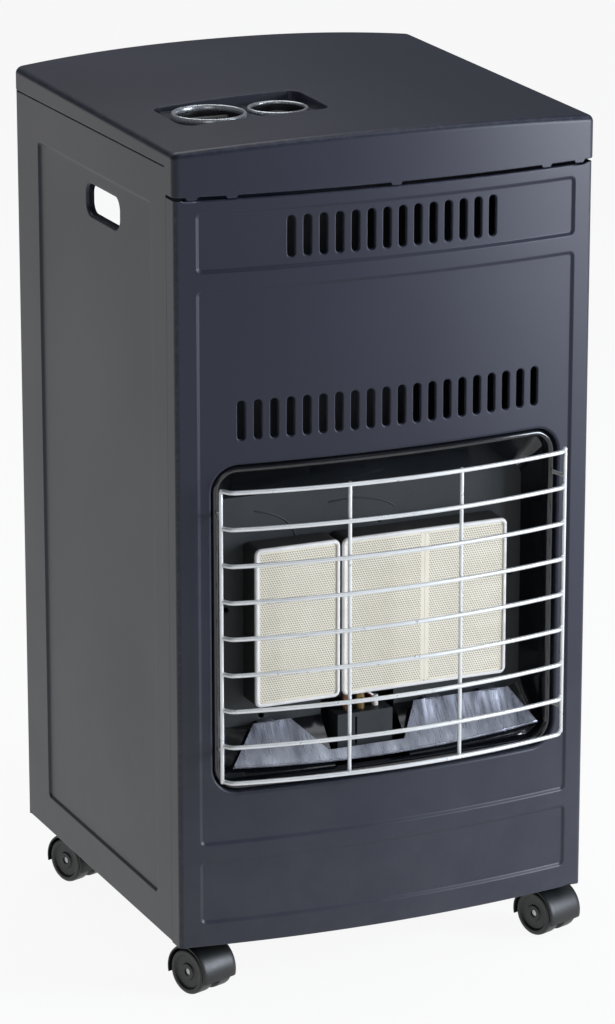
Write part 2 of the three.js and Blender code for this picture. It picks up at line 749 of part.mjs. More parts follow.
// The lid's outline, drawn in by inset, under its crowned top, as a block down to z = low.
function lidBlock(inset, low, drop, round) {
  const [columns, rows] = [12, 6];
  const half = lidHalf - inset;
  const place = (i, j, pull) => {
    const u = (2 * j) / columns - 1;
    const v = i / rows;
    const x = u * (half - pull);
    const front = bowAt(u * HALF_WIDTH) + lidFront + inset + pull;
    const rear = lidRear - inset - pull;
    return [x, front + (rear - front) * v];
  };
  const points = [];
  const faces = [];
  const level = (pull, height) => {
    const start = points.length;
    for (let i = 0; i <= rows; i++) {
      for (let j = 0; j <= columns; j++) {
        const [x, y] = place(i, j, pull);
        points.push([x, y, height(x, y)]);
      }
    }
    return start;
  };
  const rim = [];
  for (let j = 0; j < columns; j++) rim.push(j);
  for (let i = 0; i < rows; i++) rim.push(i * (columns + 1) + columns);
  for (let j = columns; j > 0; j--) rim.push(rows * (columns + 1) + j);
  for (let i = rows; i > 0; i--) rim.push(i * (columns + 1));
  const cap = (start, up) => {
    for (let i = 0; i < rows; i++) {
      for (let j = 0; j < columns; j++) {
        const a = start + i * (columns + 1) + j;
        const [b, c, d] = [a + 1, a + columns + 2, a + columns + 1];
        faces.push(...(up ? [[a, b, c], [a, c, d]] : [[a, c, b], [a, d, c]]));
      }
    }
  };
  const wall = (under, over) =>
    rim.forEach((a, k) => {
      const b = rim[(k + 1) % rim.length];
      faces.push([under + a, under + b, over + b], [under + a, over + b, over + a]);
    });
  const floor = level(0, () => low);
  cap(floor, false);
  let under = floor;
  for (const angle of [0, 45, 90]) {
    const pull = round * (1 - Math.cos(radians(angle)));
    const fall = drop + round * (1 - Math.sin(radians(angle)));
    const over = level(pull, (x, y) => lidTop(x, y) - fall);
    wall(under, over);
    under = over;
  }
  cap(under, true);
  return closedSurface(points, faces);
}

function lid() {
  const outer = lidBlock(0, FASCIA_LOW, 0, LID_ROUND);
  const inner = lidBlock(LID_SHEET, FASCIA_LOW - 1, LID_SHEET, LID_ROUND - LID_SHEET);
  const behindFascia = box(
    -CABINET_WIDTH,
    CABINET_WIDTH,
    FRONT_RETURN,
    2 * CABINET_DEPTH,
    FASCIA_LOW - 2,
    SIDE_HEIGHT + SEAT,
  );
  const { x0, x1, y0, y1, floor, radius } = WELL;
  const t = LID_SHEET;
  const over = LID_EDGE + 2 * LID_CROWN_REAR + LID_REAR_RISE;
  const well = slabZ(roundedShape(x0, x1, y0, y1, radius), floor, over, 4);
  const wider = roundedShape(x0 - t, x1 + t, y0 - t, y1 + t, radius + t);
  const wellWall = slabZ(wider, floor - t, over, 4);
  const shell = cut(outer, inner, behindFascia);
  const pan = wellWall.intersect(outer);
  const holes = [DIAL, IGNITER].map(({ x, y, bore }) =>
    bar([x, y, floor - 3 * t], [x, y, floor + t], bore + CUP_WALL + SEAT, 24),
  );
  const bumps = LID_BUMPS.map((x) => {
    const front = bowAt(x) + lidFront + LID_SHEET / 2;
    return box(
      x - LID_BUMP_WIDTH / 2,
      x + LID_BUMP_WIDTH / 2,
      front,
      front + 2,
      FRONT_HEIGHT + SEAT,
      FASCIA_LOW + 2,
    );
  });
  return cut(join(shell, pan, ...bumps), well, ...holes);
}

// ---------------------------------------------------------------- control well

// One moulding under the well's floor, with a cup that rises through each of its holes.
function controlTray() {
  const { x0, x1, y0, y1, floor, radius } = WELL;
  const top = floor - LID_SHEET - SEAT;
  const plate = slabZ(roundedShape(x0, x1, y0, y1, radius), top - TRAY_SHEET, top, 3);
  const cylinder = ({ x, y }, r, z0, z1) => bar([x, y, z0], [x, y, z1], r, 24);
  const cups = [DIAL, IGNITER].map((cup) =>
    cylinder(cup, cup.bore + CUP_WALL, floor - cup.depth - CUP_WALL, floor),
  );
  const bores = [DIAL, IGNITER].map((cup) =>
    cylinder(cup, cup.bore, floor - cup.depth, floor + CUP_WALL),
  );
  const port = (cup, r) => cylinder(cup, r, 0, floor);
  return cut(
    join(plate, ...cups),
    ...bores,
    port(DIAL, SPINDLE_RADIUS + 2),
    port(IGNITER, PIEZO.neck + SEAT),
  );
}

function trimRing({ bore, ring }) {
  const low = WELL.floor + SEAT;
  const middle = bore + RING_WIDTH / 2;
  const half = RING_WIDTH / 2;
  return turned(
    [
      [middle - half, low],
      [middle + half, low],
      [middle + half, low + ring * 0.5],
      [middle + half * 0.5, low + ring],
      [middle - half * 0.5, low + ring],
      [middle - half, low + ring * 0.5],
      [middle - half, low],
    ],
    24,
  );
}

const dialFloor = WELL.floor - DIAL.depth;
const knobLow = dialFloor + KNOB_PRESS + 1;

// The knob's skirt and grip bar, round the z axis, with a socket for the spindle.
function knob() {
  const top = knobLow + KNOB_HEIGHT;
  const { length, width, height } = KNOB_GRIP;
  const skirt = turned(
    [
      [0, knobLow],
      [KNOB_RADIUS, knobLow],
      [KNOB_RADIUS, top - 2],
      [KNOB_RADIUS - 2, top],
      [0, top],
    ],
    28,
  );
  const grip = slabZ(
    roundedShape(-length / 2, length / 2, -width / 2, width / 2, width / 2 - 0.1),
    top - 1,
    top + height,
    3,
  );
  const socket = bar([0, 0, knobLow - 1], [0, 0, top], SPINDLE_RADIUS + SEAT, 16);
  return cut(join(skirt, grip), socket);
}

const shelfTop = dialFloor - CUP_WALL - SEAT - 0.5;
const valveTop = shelfTop - SHEET - SEAT;

const spindle = () =>
  bar([0, 0, valveTop - 12], [0, 0, knobLow + KNOB_HEIGHT - SEAT], SPINDLE_RADIUS, 16);

const igniterFloor = WELL.floor - IGNITER.depth;
const piezoTop = igniterFloor + SEAT;
const buttonLow = piezoTop + PIEZO.nut + BUTTON_TRAVEL + SEAT;

function igniterButton() {
  const dome = turned(
    [
      [0, buttonLow],
      [BUTTON_RADIUS, buttonLow],
      [BUTTON_RADIUS, buttonLow + BUTTON_HEIGHT * 0.6],
      [BUTTON_RADIUS * 0.75, buttonLow + BUTTON_HEIGHT * 0.9],
      [0, buttonLow + BUTTON_HEIGHT],
    ],
    24,
  );
  const stem = bar([0, 0, piezoTop - 9], [0, 0, buttonLow + 1], BUTTON_STEM, 12);
  return join(dome, stem);
}

function piezoBody() {
  const under = piezoTop - SEAT - CUP_WALL - SEAT;
  const flange = turned(
    [
      [BUTTON_STEM + RUNNING, piezoTop],
      [PIEZO.neck + 2, piezoTop],
      [PIEZO.neck + 2, piezoTop + PIEZO.nut],
      [BUTTON_STEM + RUNNING, piezoTop + PIEZO.nut],
      [BUTTON_STEM + RUNNING, piezoTop],
    ],
    16,
  );
  const neck = bar([0, 0, under - 1], [0, 0, piezoTop + 1], PIEZO.neck, 16);
  const body = bar([0, 0, under - PIEZO.length], [0, 0, under], PIEZO.radius, 16);
  const bore = bar([0, 0, piezoTop - 17], [0, 0, piezoTop + 3], BUTTON_STEM + RUNNING, 12);
  return cut(join(body, neck, flange), bore);
}

// Shelf behind the partition's head that holds the valve under the dial.
function valveShelf() {
  const { x0, x1, depth, lip } = SHELF;
  const rear = PARTITION_Y + SHEET;
  const plate = join(
    box(x0, x1, rear + SEAT, rear + depth, shelfTop - SHEET, shelfTop),
    box(x0, x1, rear + SEAT, rear + SEAT + SHEET, shelfTop - lip, shelfTop),
  );
  const { x, y } = DIAL;
  const port = bar([x, y, 0], [x, y, 2 * SIDE_HEIGHT], SPINDLE_RADIUS + 2, 16);
  const gap = bar(
    [IGNITER.x, IGNITER.y, 0],
    [IGNITER.x, IGNITER.y, 2 * SIDE_HEIGHT],
    PIEZO.radius + SEAT,
    16,
  );
  return cut(plate, port, gap);
}

function valveBody() {
  const { width, depth, height } = VALVE;
  const low = valveTop - height;
  const block = slabZ(
    roundedShape(-width / 2, width / 2, -depth / 2, depth / 2, 6),
    low,
    valveTop,
    3,
  );
  const outlet = (x) => bar([x, 0, low + 8], [Math.sign(x) * (width / 2 + 8), 0, low + 8], 6, 6);
  const magnet = bar([0, 0, low - MAGNET.length], [0, 0, low + 1], MAGNET.radius, 16);
  const nut = bar([0, 0, low - 10], [0, 0, low - 3], MAGNET.radius + 3, 6);
  const bore = bar([0, 0, valveTop - 18], [0, 0, valveTop + 1], SPINDLE_RADIUS + RUNNING, 16);
  return cut(join(block, outlet(-10), outlet(10), magnet, nut), bore);
}

// Barbed inlet for the gas hose, pointing to the rear.
function hoseTail() {
  const { radius, barb, length, bore } = HOSE_TAIL;
  const start = VALVE.depth / 2 + SEAT;
  const { collar, collarLength, firstBarb, pitch } = HOSE_TAIL;
  const profile = [[bore, 0], [collar, 0], [collar, collarLength], [radius, collarLength]];
  for (let h = firstBarb; h + pitch <= length; h += pitch) {
    profile.push([radius, h], [barb, h + 1], [radius, h + pitch]);
  }
  profile.push([radius - 1, length], [bore, length], [bore, 0]);
  const geometry = geometryOf(turned(profile, 12));
  return solid(geometry.rotateX(radians(-90)).translate(0, start, valveTop - VALVE.height / 2));
}

// ---------------------------------------------------------------- burners

const inset = (burner, by) => ({
  x0: burner.x0 + by,
  x1: burner.x1 - by,
  z0: BURNER_LOW + by,
  z1: BURNER_HIGH - by,
});
const burnerShape = (burner, by) => {
  const { x0, x1, z0, z1 } = inset(burner, by);
  return roundedShape(x0, x1, z0, z1, Math.max(BURNER_RADIUS - by, 2));
};

// Bright frame whose turned-in lip holds the plaques.
function burnerFrame(burner) {
  const rear = CHASSIS_Y - SEAT;
  return cut(
    slabY(burnerShape(burner, 0), BURNER_FRONT, rear, 3),
    slabY(burnerShape(burner, BURNER_SKIN), BURNER_FRONT + BURNER_SKIN, rear + 1, 3),
    slabY(burnerShape(burner, BURNER_LIP), BURNER_FRONT - 1, rear, 3),
  );
}

const plaqueFront = BURNER_FRONT + BURNER_SKIN + SEAT;
const plaqueRear = plaqueFront + PLAQUE_THICK;

function plaque(burner, index) {
  const { x0, x1, z0, z1 } = inset(burner, BURNER_SKIN + SEAT);
  const width = (x1 - x0 - (burner.plaques - 1) * SEAT) / burner.plaques;
  const start = x0 + index * (width + SEAT);
  return slabY(roundedShape(start, start + width, z0, z1, 4), plaqueFront, plaqueRear, 2);
}

const mixerMouth = ({ side, x0, x1 }) => (side < 0 ? x0 - MIXER_REACH : x1 + MIXER_REACH);
const mixerZ = BURNER_LOW + MIXER_HEIGHT;
const mixerY = PLENUM_REAR + MIXER_RADIUS * 0.5;

// Gas chamber behind the plaques, with its mixing tube along the rear.
function plenum(burner) {
  const wall = BURNER_SKIN + SEAT;
  const front = plaqueRear + SEAT;
  const mouth = mixerMouth(burner);
  const blind = burner.side < 0 ? burner.x1 - MIXER_BLIND : burner.x0 + MIXER_BLIND;
  const throat = MIXER_RADIUS - BURNER_SKIN;
  const shell = join(
    slabY(burnerShape(burner, wall), front, PLENUM_REAR, 2),
    bar([blind, mixerY, mixerZ], [mouth, mixerY, mixerZ], MIXER_RADIUS, 16),
  );
  return cut(
    shell,
    slabY(burnerShape(burner, wall + BURNER_SKIN), front - 1, PLENUM_REAR - BURNER_SKIN, 2),
    bar(
      [blind + burner.side * MIXER_END_WALL, mixerY, mixerZ],
      [mouth + burner.side, mixerY, mixerZ],
      throat,
      16,
    ),
  );
}

// Injector with the cap that closes the mixing tube's mouth, along x.
function injector(burner) {
  const { cap, body, length, bore } = INJECTOR;
  const face = mixerMouth(burner) + burner.side * SEAT;
  const at = (x, r, sides) => bar([face, mixerY, mixerZ], [x, mixerY, mixerZ], r, sides);
  return cut(
    join(at(face + burner.side * 2, cap, 16), at(face + burner.side * length, body, 6)),
    bar([face - 1, mixerY, mixerZ], [face + burner.side * (length + 1), mixerY, mixerZ], bore, 8),
  );
}

// ---------------------------------------------------------------- firebox

// Back plate that the burners pass through, with wings that stand on the partition.
function burnerChassis() {
  const { half, z0, z1 } = CHASSIS;
  const rear = PARTITION_Y - SEAT;
  const plate = box(-half, half, CHASSIS_Y, CHASSIS_Y + SHEET, z0, z1);
  const wings = [-1, 1].map((side) => {
    const [x0, x1] = [side * half, side * (half - SHEET)].sort((a, b) => a - b);
    return box(x0, x1, CHASSIS_Y, rear, z0, z1);
  });
  const gates = BURNERS.map((burner) =>
    slabY(burnerShape(burner, BURNER_SKIN), CHASSIS_Y - 1, CHASSIS_Y + 3, 2),
  );
  const { x0, x1, z1: gateTop } = PILOT_GATE;
  const pilotGate = box(x0, x1, CHASSIS_Y - 1, CHASSIS_Y + 3, z0 - 1, gateTop);
  return cut(join(plate, ...wings), ...gates, pilotGate);
}

// A ring round a rounded rectangle that is open over the pilot gate, from its right edge round to
// its left one.
function openRing(frame, by) {
  const ring = rectangleRing(frame, by);
  const lowerLeft = 3 * (CORNER_STEPS + 1) + LEVEL_STEPS - 2; // where the bottom edge starts
  const left = ring.slice(0, lowerLeft + 2);
  const right = ring.slice(lowerLeft + 4);
  const z = frame.z0 + by;
  return [[PILOT_GATE.x1, z], ...right, ...left, [PILOT_GATE.x0, z]];
}

// Funnel from the window to the burners, open where the pilot group stands.
function surround() {
  const front = (by) =>
    openRing(WINDOW, by).map(([x, z]) => [x, bowAt(x) + FIELD_SINK + BEZEL_DEPTH + SEAT, z]);
  const throat = (by) => openRing(THROAT, by).map(([x, z]) => [x, CHASSIS_Y - SEAT, z]);
  return skin(
    [front(BEZEL_WIDTH), throat(0)],
    [front(BEZEL_WIDTH - SURROUND_SKIN), throat(-SURROUND_SKIN)],
  );
}

// Convex enamelled rim inside the window.
function bezel() {
  const behind = WINDOW_LIP + SEAT;
  const w = BEZEL_WIDTH;
  const section = [
    [-3, behind],
    [WINDOW_LIP_ROLL + SEAT, behind],
    [w * 0.36, 4],
    [w * 0.6, 2.4],
    [w * 0.86, 4.5],
    [w, BEZEL_DEPTH],
    [w - SHEET, BEZEL_DEPTH],
    [w * 0.7, 5],
    [w * 0.4, behind + SHEET],
    [-3, behind + SHEET],
  ];
  return hoop(section.map(([by, depth]) => windowRing(by, depth)));
}

// Bright reflector under the burners, cut round the pilot box and hung by tabs on the back plate.
function floorReflector() {
  const { front, low, run, rise, skin: thick, half, left, bow } = REFLECTOR;
  const { leftWing, notch, notchDepth, rightWing, tabs, tabWidth } = REFLECTOR;
  const slope = Math.hypot(run, rise);
  const shape = new THREE.Shape();
  const stations = [left, -100, -60, -20, 20, 60, 100, half];
  stations.forEach((x, i) => shape[i ? "lineTo" : "moveTo"](x, bow * (x / half) ** 2));
  shape.lineTo(rightWing[1], slope);
  shape.lineTo(rightWing[0], slope);
  shape.lineTo(notch[1], notchDepth);
  shape.lineTo(notch[0], notchDepth);
  shape.lineTo(leftWing[1], slope);
  shape.lineTo(leftWing[0], slope);
  const flat = geometryOf(slabZ(shape, 0, thick, 2)).rotateX(Math.atan2(rise, run));
  const sheet = solid(flat.translate(0, front, low));
  const top = low + rise;
  const hung = tabs.map((x) =>
    box(x - tabWidth / 2, x + tabWidth / 2, front + run - 1, CHASSIS_Y - SEAT, top - thick, top),
  );
  return join(sheet, ...hung);
}

function pilotBox() {
  const { x0, x1, y0, y1, z0, z1 } = PILOT_BOX;
  return cut(
    box(x0, x1, y0, y1, z0, z1),
    box(x0 + SHEET, x1 - SHEET, y0 + SHEET, y1 + 1, z0 + SHEET, z1 - SHEET),
    box(x0 + 17, x0 + 19, y0 - 1, y0 + 3, z0 + 4, z1 - 4),
  );
}

// ---------------------------------------------------------------- pipes and leads

const PIPE_HOLE_DROP = 189; // from the top of the sides
const PIPE_HOLE_Z = SIDE_HEIGHT - PIPE_HOLE_DROP;
const PIPE_HOLE_GAP = 1.5;
const LEAD_Z = 198; // height at which the thin pipes reach the pilot group

// Pilot flame group on its box: the burner, the thermocouple's tip and the spark electrode.
const PILOT = { x: -14, y: 24, low: PILOT_BOX.z1 + SEAT, radius: 4.5, height: 15 };
const THERMOCOUPLE = { x: -28, y: 26, low: PILOT_BOX.z1 + SEAT, radius: 2.5, height: 16 };
const ELECTRODE = { x: 2, y: 26, low: PILOT_BOX.z1 + SEAT, radius: 3, height: 10 };

const valveLow = valveTop - VALVE.height;
const piezoLow = piezoTop - 2 * SEAT - CUP_WALL - PIEZO.length;
const injectorEnd = BURNERS[1].x1 + MIXER_REACH + SEAT + INJECTOR.length;
const PIPE_MARGIN = 8; // from the sides of the chassis
const pipeX = CHASSIS.half - PIPE_MARGIN;
const THERMOCOUPLE_X = -52;
const PILOT_PIPE_X = -36;
const LEAD_X = -20;

// Through the partition at x, from behind it to the front.
const crossing = (x) => [
  [x, PARTITION_Y + 12, PIPE_HOLE_Z + 26],
  [x, PARTITION_Y + 10, PIPE_HOLE_Z + 6],
  [x, PARTITION_Y + 5, PIPE_HOLE_Z],
  [x, PARTITION_Y - 5, PIPE_HOLE_Z],
  [x, PARTITION_Y - 12, PIPE_HOLE_Z - 6],
  [x, PARTITION_Y - 14, PIPE_HOLE_Z - 26],
];

// Down to an injector, on the side of the firebox that side names.
const toInjector = (side) => [
  [side * pipeX, PARTITION_Y - 14, mixerZ + 45],
  [side * (pipeX + 1), PARTITION_Y - 16, mixerZ + 8],
  [side * (pipeX + 1), mixerY + 4, mixerZ + 1],
  [side * (pipeX - 1), mixerY, mixerZ],
  [side * (injectorEnd + SEAT), mixerY, mixerZ],
];

// Down behind the mixing tubes and forward to the rear of a piece of the pilot group.
const toPilot = ({ x, y }, reach) => [
  [x, PARTITION_Y - 8, mixerZ + 30],
  [x, PARTITION_Y - 8, LEAD_Z + 10],
  [x, PARTITION_Y - 16, LEAD_Z],
  [x, y + reach, LEAD_Z],
];

// The runs from the controls to the burners, with the hole that each has in the partition.
function pipeRuns() {
  const outlet = VALVE.width / 2 + 8 + SEAT;
  const outletZ = valveLow + 8;
  const magnetLow = valveLow - MAGNET.length;
  const { x, y } = DIAL;
  return [
    {
      name: "gas_pipe_left",
      x: -pipeX,
      radius: PIPE_RADIUS,
      points: [
        [x - outlet, y, outletZ],
        [x - outlet - 6, y, outletZ],
        [-pipeX, y - 3, outletZ - 8],
        [-pipeX, y - 8, PIPE_HOLE_Z + 60],
        ...crossing(-pipeX),
        ...toInjector(-1),
      ],
    },
    {
      name: "gas_pipe_right",
      x: pipeX,
      radius: PIPE_RADIUS,
      points: [
        [x + outlet, y, outletZ],
        [x + outlet + 6, y, outletZ],
        [x + outlet + 14, y - 3, outletZ - 8],
        [-20, y - 12, outletZ - 36],
        [pipeX - 32, y - 14, outletZ - 50],
        [pipeX - 4, y - 15, outletZ - 60],
        [pipeX, y - 15, outletZ - 80],
        ...crossing(pipeX),
        ...toInjector(1),
      ],
    },
    {
      name: "thermocouple",
      x: THERMOCOUPLE_X,
      radius: THIN_PIPE_RADIUS,
      tip: thermocoupleTip,
      points: [
        [x, y, magnetLow - SEAT],
        [x, y, magnetLow - 12],
        [x + 25, y - 8, magnetLow - 50],
        ...crossing(THERMOCOUPLE_X),
        ...toPilot(THERMOCOUPLE, 0),
      ],
    },
    {
      name: "pilot_pipe",
      x: PILOT_PIPE_X,
      radius: THIN_PIPE_RADIUS,
      points: [
        [x + 14, y + VALVE.depth / 2 + SEAT, outletZ + 4],
        [x + 14, y + VALVE.depth / 2 + 6, outletZ + 4],
        [x + 20, y + VALVE.depth / 2 + 9, outletZ - 8],
        [x + 50, y + 7, outletZ - 62],
        ...crossing(PILOT_PIPE_X),
        ...toPilot(PILOT, PILOT.radius + SEAT),
      ],
    },
    {
      name: "ignition_lead",
      x: LEAD_X,
      radius: THIN_PIPE_RADIUS,
      points: [
        [IGNITER.x, IGNITER.y, piezoLow - SEAT],
        [IGNITER.x, IGNITER.y, piezoLow - 12],
        [IGNITER.x + 6, IGNITER.y - 9, piezoLow - 62],
        ...crossing(LEAD_X),
        ...toPilot(ELECTRODE, ELECTRODE.radius + SEAT),
      ],
    },
  ];
}

function pilotBurner() {
  const { x, y, low, radius, height } = PILOT;
  const body = bar([x, y, low], [x, y, low + height], radius, 12);
  const ports = bar([x, y - 2 * radius, low + height - 5], [x, y, low + height - 5], 1.4, 8);
  return cut(body, ports);
}

const thermocoupleTip = () => {
  const { x, y, low, radius, height } = THERMOCOUPLE;
  return join(
    bar([x, y, low], [x, y, low + height], radius, 10),
    bar([x, y, low + 4], [x, y, low + 7], radius + 1.6, 6),
  );
};

const sparkElectrode = () => {
  const { x, y, low, radius, height } = ELECTRODE;
  return join(
    bar([x, y, low], [x, y, low + height], radius, 10),
    bar([x, y, low + height - 2], [x - 9, y - 1, low + height + 5], 1, 6),
  );
};

// ---------------------------------------------------------------- wire guard

function wireGuard() {
  const { half, end, low, high, rows, face, bow, post } = GUARD;
  const faceY = (x) => face - bow * (1 - (x / end) ** 2);
  const stations = Array.from({ length: 9 }, (_, i) => end * (i / 4 - 1));
  const levels = Array.from({ length: rows }, (_, i) => low + ((high - low) * i) / (rows - 1));
  const level = (z) =>
    wire(
      [[-half, post, z], ...stations.map((x) => [x, faceY(x), z]), [half, post, z]],
      WIRE_RADIUS,
    );
  const uprightAt = (x, y) => bar([x, y, low - WIRE_RADIUS], [x, y, high + WIRE_RADIUS], POST_RADIUS, 6);
  const behind = WIRE_RADIUS + POST_RADIUS - 0.8;
  const posts = GUARD_POSTS.map((x) => uprightAt(x, faceY(x) + behind));
  const sides = [-half, half].map((x) => uprightAt(x, post));
  const footEnd = bowAt(GUARD_FOOT_X) + FIELD_SINK + 2.4 - SEAT;
  const feet = [-1, 1].flatMap((side) =>
    GUARD_FEET.map((z) => bar([side * half, post, z], [side * GUARD_FOOT_X, footEnd, z], POST_RADIUS, 6)),
  );
  return join(...levels.map(level), ...posts, ...sides, ...feet);
}

// ---------------------------------------------------------------- rear cover

function rearCover() {
  const { half, z0, z1, lip, field, hem: margin, slope } = COVER;
  const face = CABINET_DEPTH + SEAT;
  const inner = half - field;
  const columns = [-half, -inner, slope - inner, inner - slope, inner, half];
  const rows = [z0, z0 + margin, z0 + margin + slope, z1 - margin - slope, z1 - margin, z1];
  const proud = (i, j) => (i > 1 && i < 4 && j > 1 && j < 4 ? FIELD_SINK : 0);
  const grid = (thick) =>
    rows.map((z, i) => columns.map((x, j) => [-x, face + proud(i, j) + thick, z]));
  const sheet = skin(grid(SHEET), grid(0));
  const hem = box(-half + 20, half - 20, face, face + lip, z1 - SHEET, z1);
  const { count, pitch, width, rows: slotRows } = COVER_SLOTS;
  const slots = slotRows.flatMap(([low, high]) =>
    slotRow({ count, pitch, low, high }, width, face - 5, face + 9),
  );
  const back = CABINET_DEPTH - SHEET;
  const hooks = [-1, 1].flatMap((side) =>
    HOOK.heights.flatMap((z) => {
      const [x0, x1] = [side * HOOK.x - HOOK.width / 2, side * HOOK.x + HOOK.width / 2];
      return [
        box(x0, x1, back - 1 - HOOK.thick, face + SHEET / 2, z, z + HOOK.thick),
        box(x0, x1, back - 1 - HOOK.thick, back - 1, z - HOOK.drop, z + HOOK.thick),
      ];
    }),
  );
  return cut(join(sheet, hem, ...hooks), ...slots);
}

// ---------------------------------------------------------------- casters

// A caster is drawn with its swivel axis on z, trailing to +x, and z = 0 on the floor.
const padTop = FLOOR_GAP + panLow - SEAT;
const bossTop = padTop - CASTER_PLATE_THICK - SEAT;
const stemLow = WHEEL_RADIUS + Math.sqrt((HOOD_RADIUS - HOOD_SKIN) ** 2 - CASTER_TRAIL ** 2) + 2;
const wheelInner = HOOD_WEB / 2 + 0.8;
const hoodHalf = wheelInner + WHEEL_WIDTH + 0.8;

function casterPlate() {
  const half = CASTER_PLATE / 2;
  return join(
    slabZ(roundedShape(-half, half, -half, half, 5), padTop - CASTER_PLATE_THICK, padTop, 2),
    bar([0, 0, stemLow], [0, 0, padTop - 1], STEM_RADIUS, 12),
  );
}

function casterHood() {
  const axle = (radius, y0, y1, sides) =>
    bar([CASTER_TRAIL, y0, WHEEL_RADIUS], [CASTER_TRAIL, y1, WHEEL_RADIUS], radius, sides);
  const well = HOOD_RADIUS - HOOD_SKIN;
  const web = HOOD_WEB / 2;
  const dome = axle(HOOD_RADIUS, -hoodHalf, hoodHalf, 20);
  const wells = [-1, 1].map((side) => axle(well, side * web, side * (hoodHalf + 1), 20));
  const skirtCut = box(-80, 80, -40, 40, -40, WHEEL_RADIUS - 6);
  const fender = cut(dome, ...wells, skirtCut);
  const boss = bar([0, 0, stemLow - 2], [0, 0, bossTop], STEM_BOSS, 12);
  const ankle = bar([0, 0, stemLow - 2], [0, 0, bossTop - 3], STEM_BOSS + 3, 12);
  const bore = bar([0, 0, stemLow - SEAT], [0, 0, bossTop + 1], STEM_RADIUS + RUNNING, 12);
  const bearing = axle(AXLE_RADIUS + RUNNING, -hoodHalf, hoodHalf, 12);
  return cut(join(fender, cut(join(boss, ankle), ...wells)), bore, bearing);
}

const axleHalf = wheelInner + WHEEL_WIDTH - 2;

const casterAxle = () => bar([0, -axleHalf, 0], [0, axleHalf, 0], AXLE_RADIUS, 12);

// One wheel of a pair, turned round y, with a dished outer face.
function casterWheel(side) {
  const hub = AXLE_RADIUS + SEAT;
  const out = WHEEL_WIDTH;
  const rim = WHEEL_RADIUS / Math.cos(Math.PI / WHEEL_SIDES);
  const profile = [
    [hub, 0],
    [rim, 0],
    [rim, out - 2.5],
    [rim - 2.5, out],
    [rim - 5, out],
    [rim - 7, out - 2],
    [hub, out - 2],
    [hub, 0],
  ];
  const geometry = geometryOf(turned(profile, WHEEL_SIDES)).rotateX(radians(side * -90));
  return solid(geometry.rotateY(Math.PI / WHEEL_SIDES).translate(0, side * wheelInner, 0));
}

// ---------------------------------------------------------------- assembly

function piece(name, body, { color, roughness, metalness }, place = [0, 0, 0]) {
  const material = new THREE.MeshStandardMaterial({ color, roughness, metalness });
  const mesh = new THREE.Mesh(geometryOf(body), material);
  mesh.name = name;
  mesh.position.set(...place);
  return mesh;
}

function cabinetGroup() {
  const cabinet = new THREE.Group();
  cabinet.add(
    piece("front_panel", frontPanel(), CHARCOAL),
    piece("side_panel_left", sidePanel(-1), CHARCOAL),
    piece("side_panel_right", sidePanel(1), CHARCOAL),
    piece("base_pan", basePan(), CHARCOAL),
    piece("partition", partition(), DARK_STEEL),
    piece("rear_rail", rearRail(), DARK_STEEL),
    piece("lid", lid(), CHARCOAL),
    piece("rear_cover", rearCover(), CHARCOAL),
  );
  return cabinet;
}

function controlsGroup() {
  const controls = new THREE.Group();
  const dial = [DIAL.x, DIAL.y, 0];
  const igniter = [IGNITER.x, IGNITER.y, 0];
  controls.add(
    piece("control_tray", controlTray(), BLACK_PLASTIC),
    piece("dial_ring", trimRing(DIAL), CHROME, dial),
    piece("gas_knob", knob(), BLACK_PLASTIC, dial),
    piece("valve_spindle", spindle(), BRASS, dial),
    piece("gas_valve", valveBody(), CAST_ALLOY, dial),
    piece("hose_tail", hoseTail(), BRASS, dial),
    piece("valve_shelf", valveShelf(), DARK_STEEL),
    piece("igniter_ring", trimRing(IGNITER), CHROME, igniter),
    piece("igniter_button", igniterButton(), BLACK_PLASTIC, igniter),
    piece("piezo_igniter", piezoBody(), BLACK_PLASTIC, igniter),
  );
  return controls;
}

function fireboxGroup() {
  const firebox = new THREE.Group();
  firebox.add(
    piece("window_bezel", bezel(), BLACK_ENAMEL),
    piece("firebox_surround", surround(), BLACK_ENAMEL),
    piece("burner_chassis", burnerChassis(), DARK_STEEL),
    piece("floor_reflector", floorReflector(), BRIGHT_SHEET),
    piece("pilot_box", pilotBox(), DARK_STEEL),
    piece("pilot_burner", pilotBurner(), BRASS),
    piece("spark_electrode", sparkElectrode(), CERAMIC),
    piece("wire_guard", wireGuard(), BRIGHT_WIRE),
  );
  for (const burner of BURNERS) {
    firebox.add(
      piece("burner_frame_" + burner.name, burnerFrame(burner), GALVANISED),
      piece("burner_plenum_" + burner.name, plenum(burner), GALVANISED),
      piece("injector_" + burner.name, injector(burner), BRASS),
    );
    for (let i = 0; i < burner.plaques; i++) {
      const name = "ceramic_plaque_" + burner.name + (burner.plaques > 1 ? "_" + (i + 1) : "");
      firebox.add(piece(name, plaque(burner, i), CERAMIC));
    }
  }
  for (const { name, points, radius, tip } of pipeRuns()) {
    const tone = name === "ignition_lead" ? RED_LEAD : COPPER;
    const run = wire(points, radius);
    firebox.add(piece(name, tip ? join(run, tip()) : run, tone));
  }
  return firebox;
}

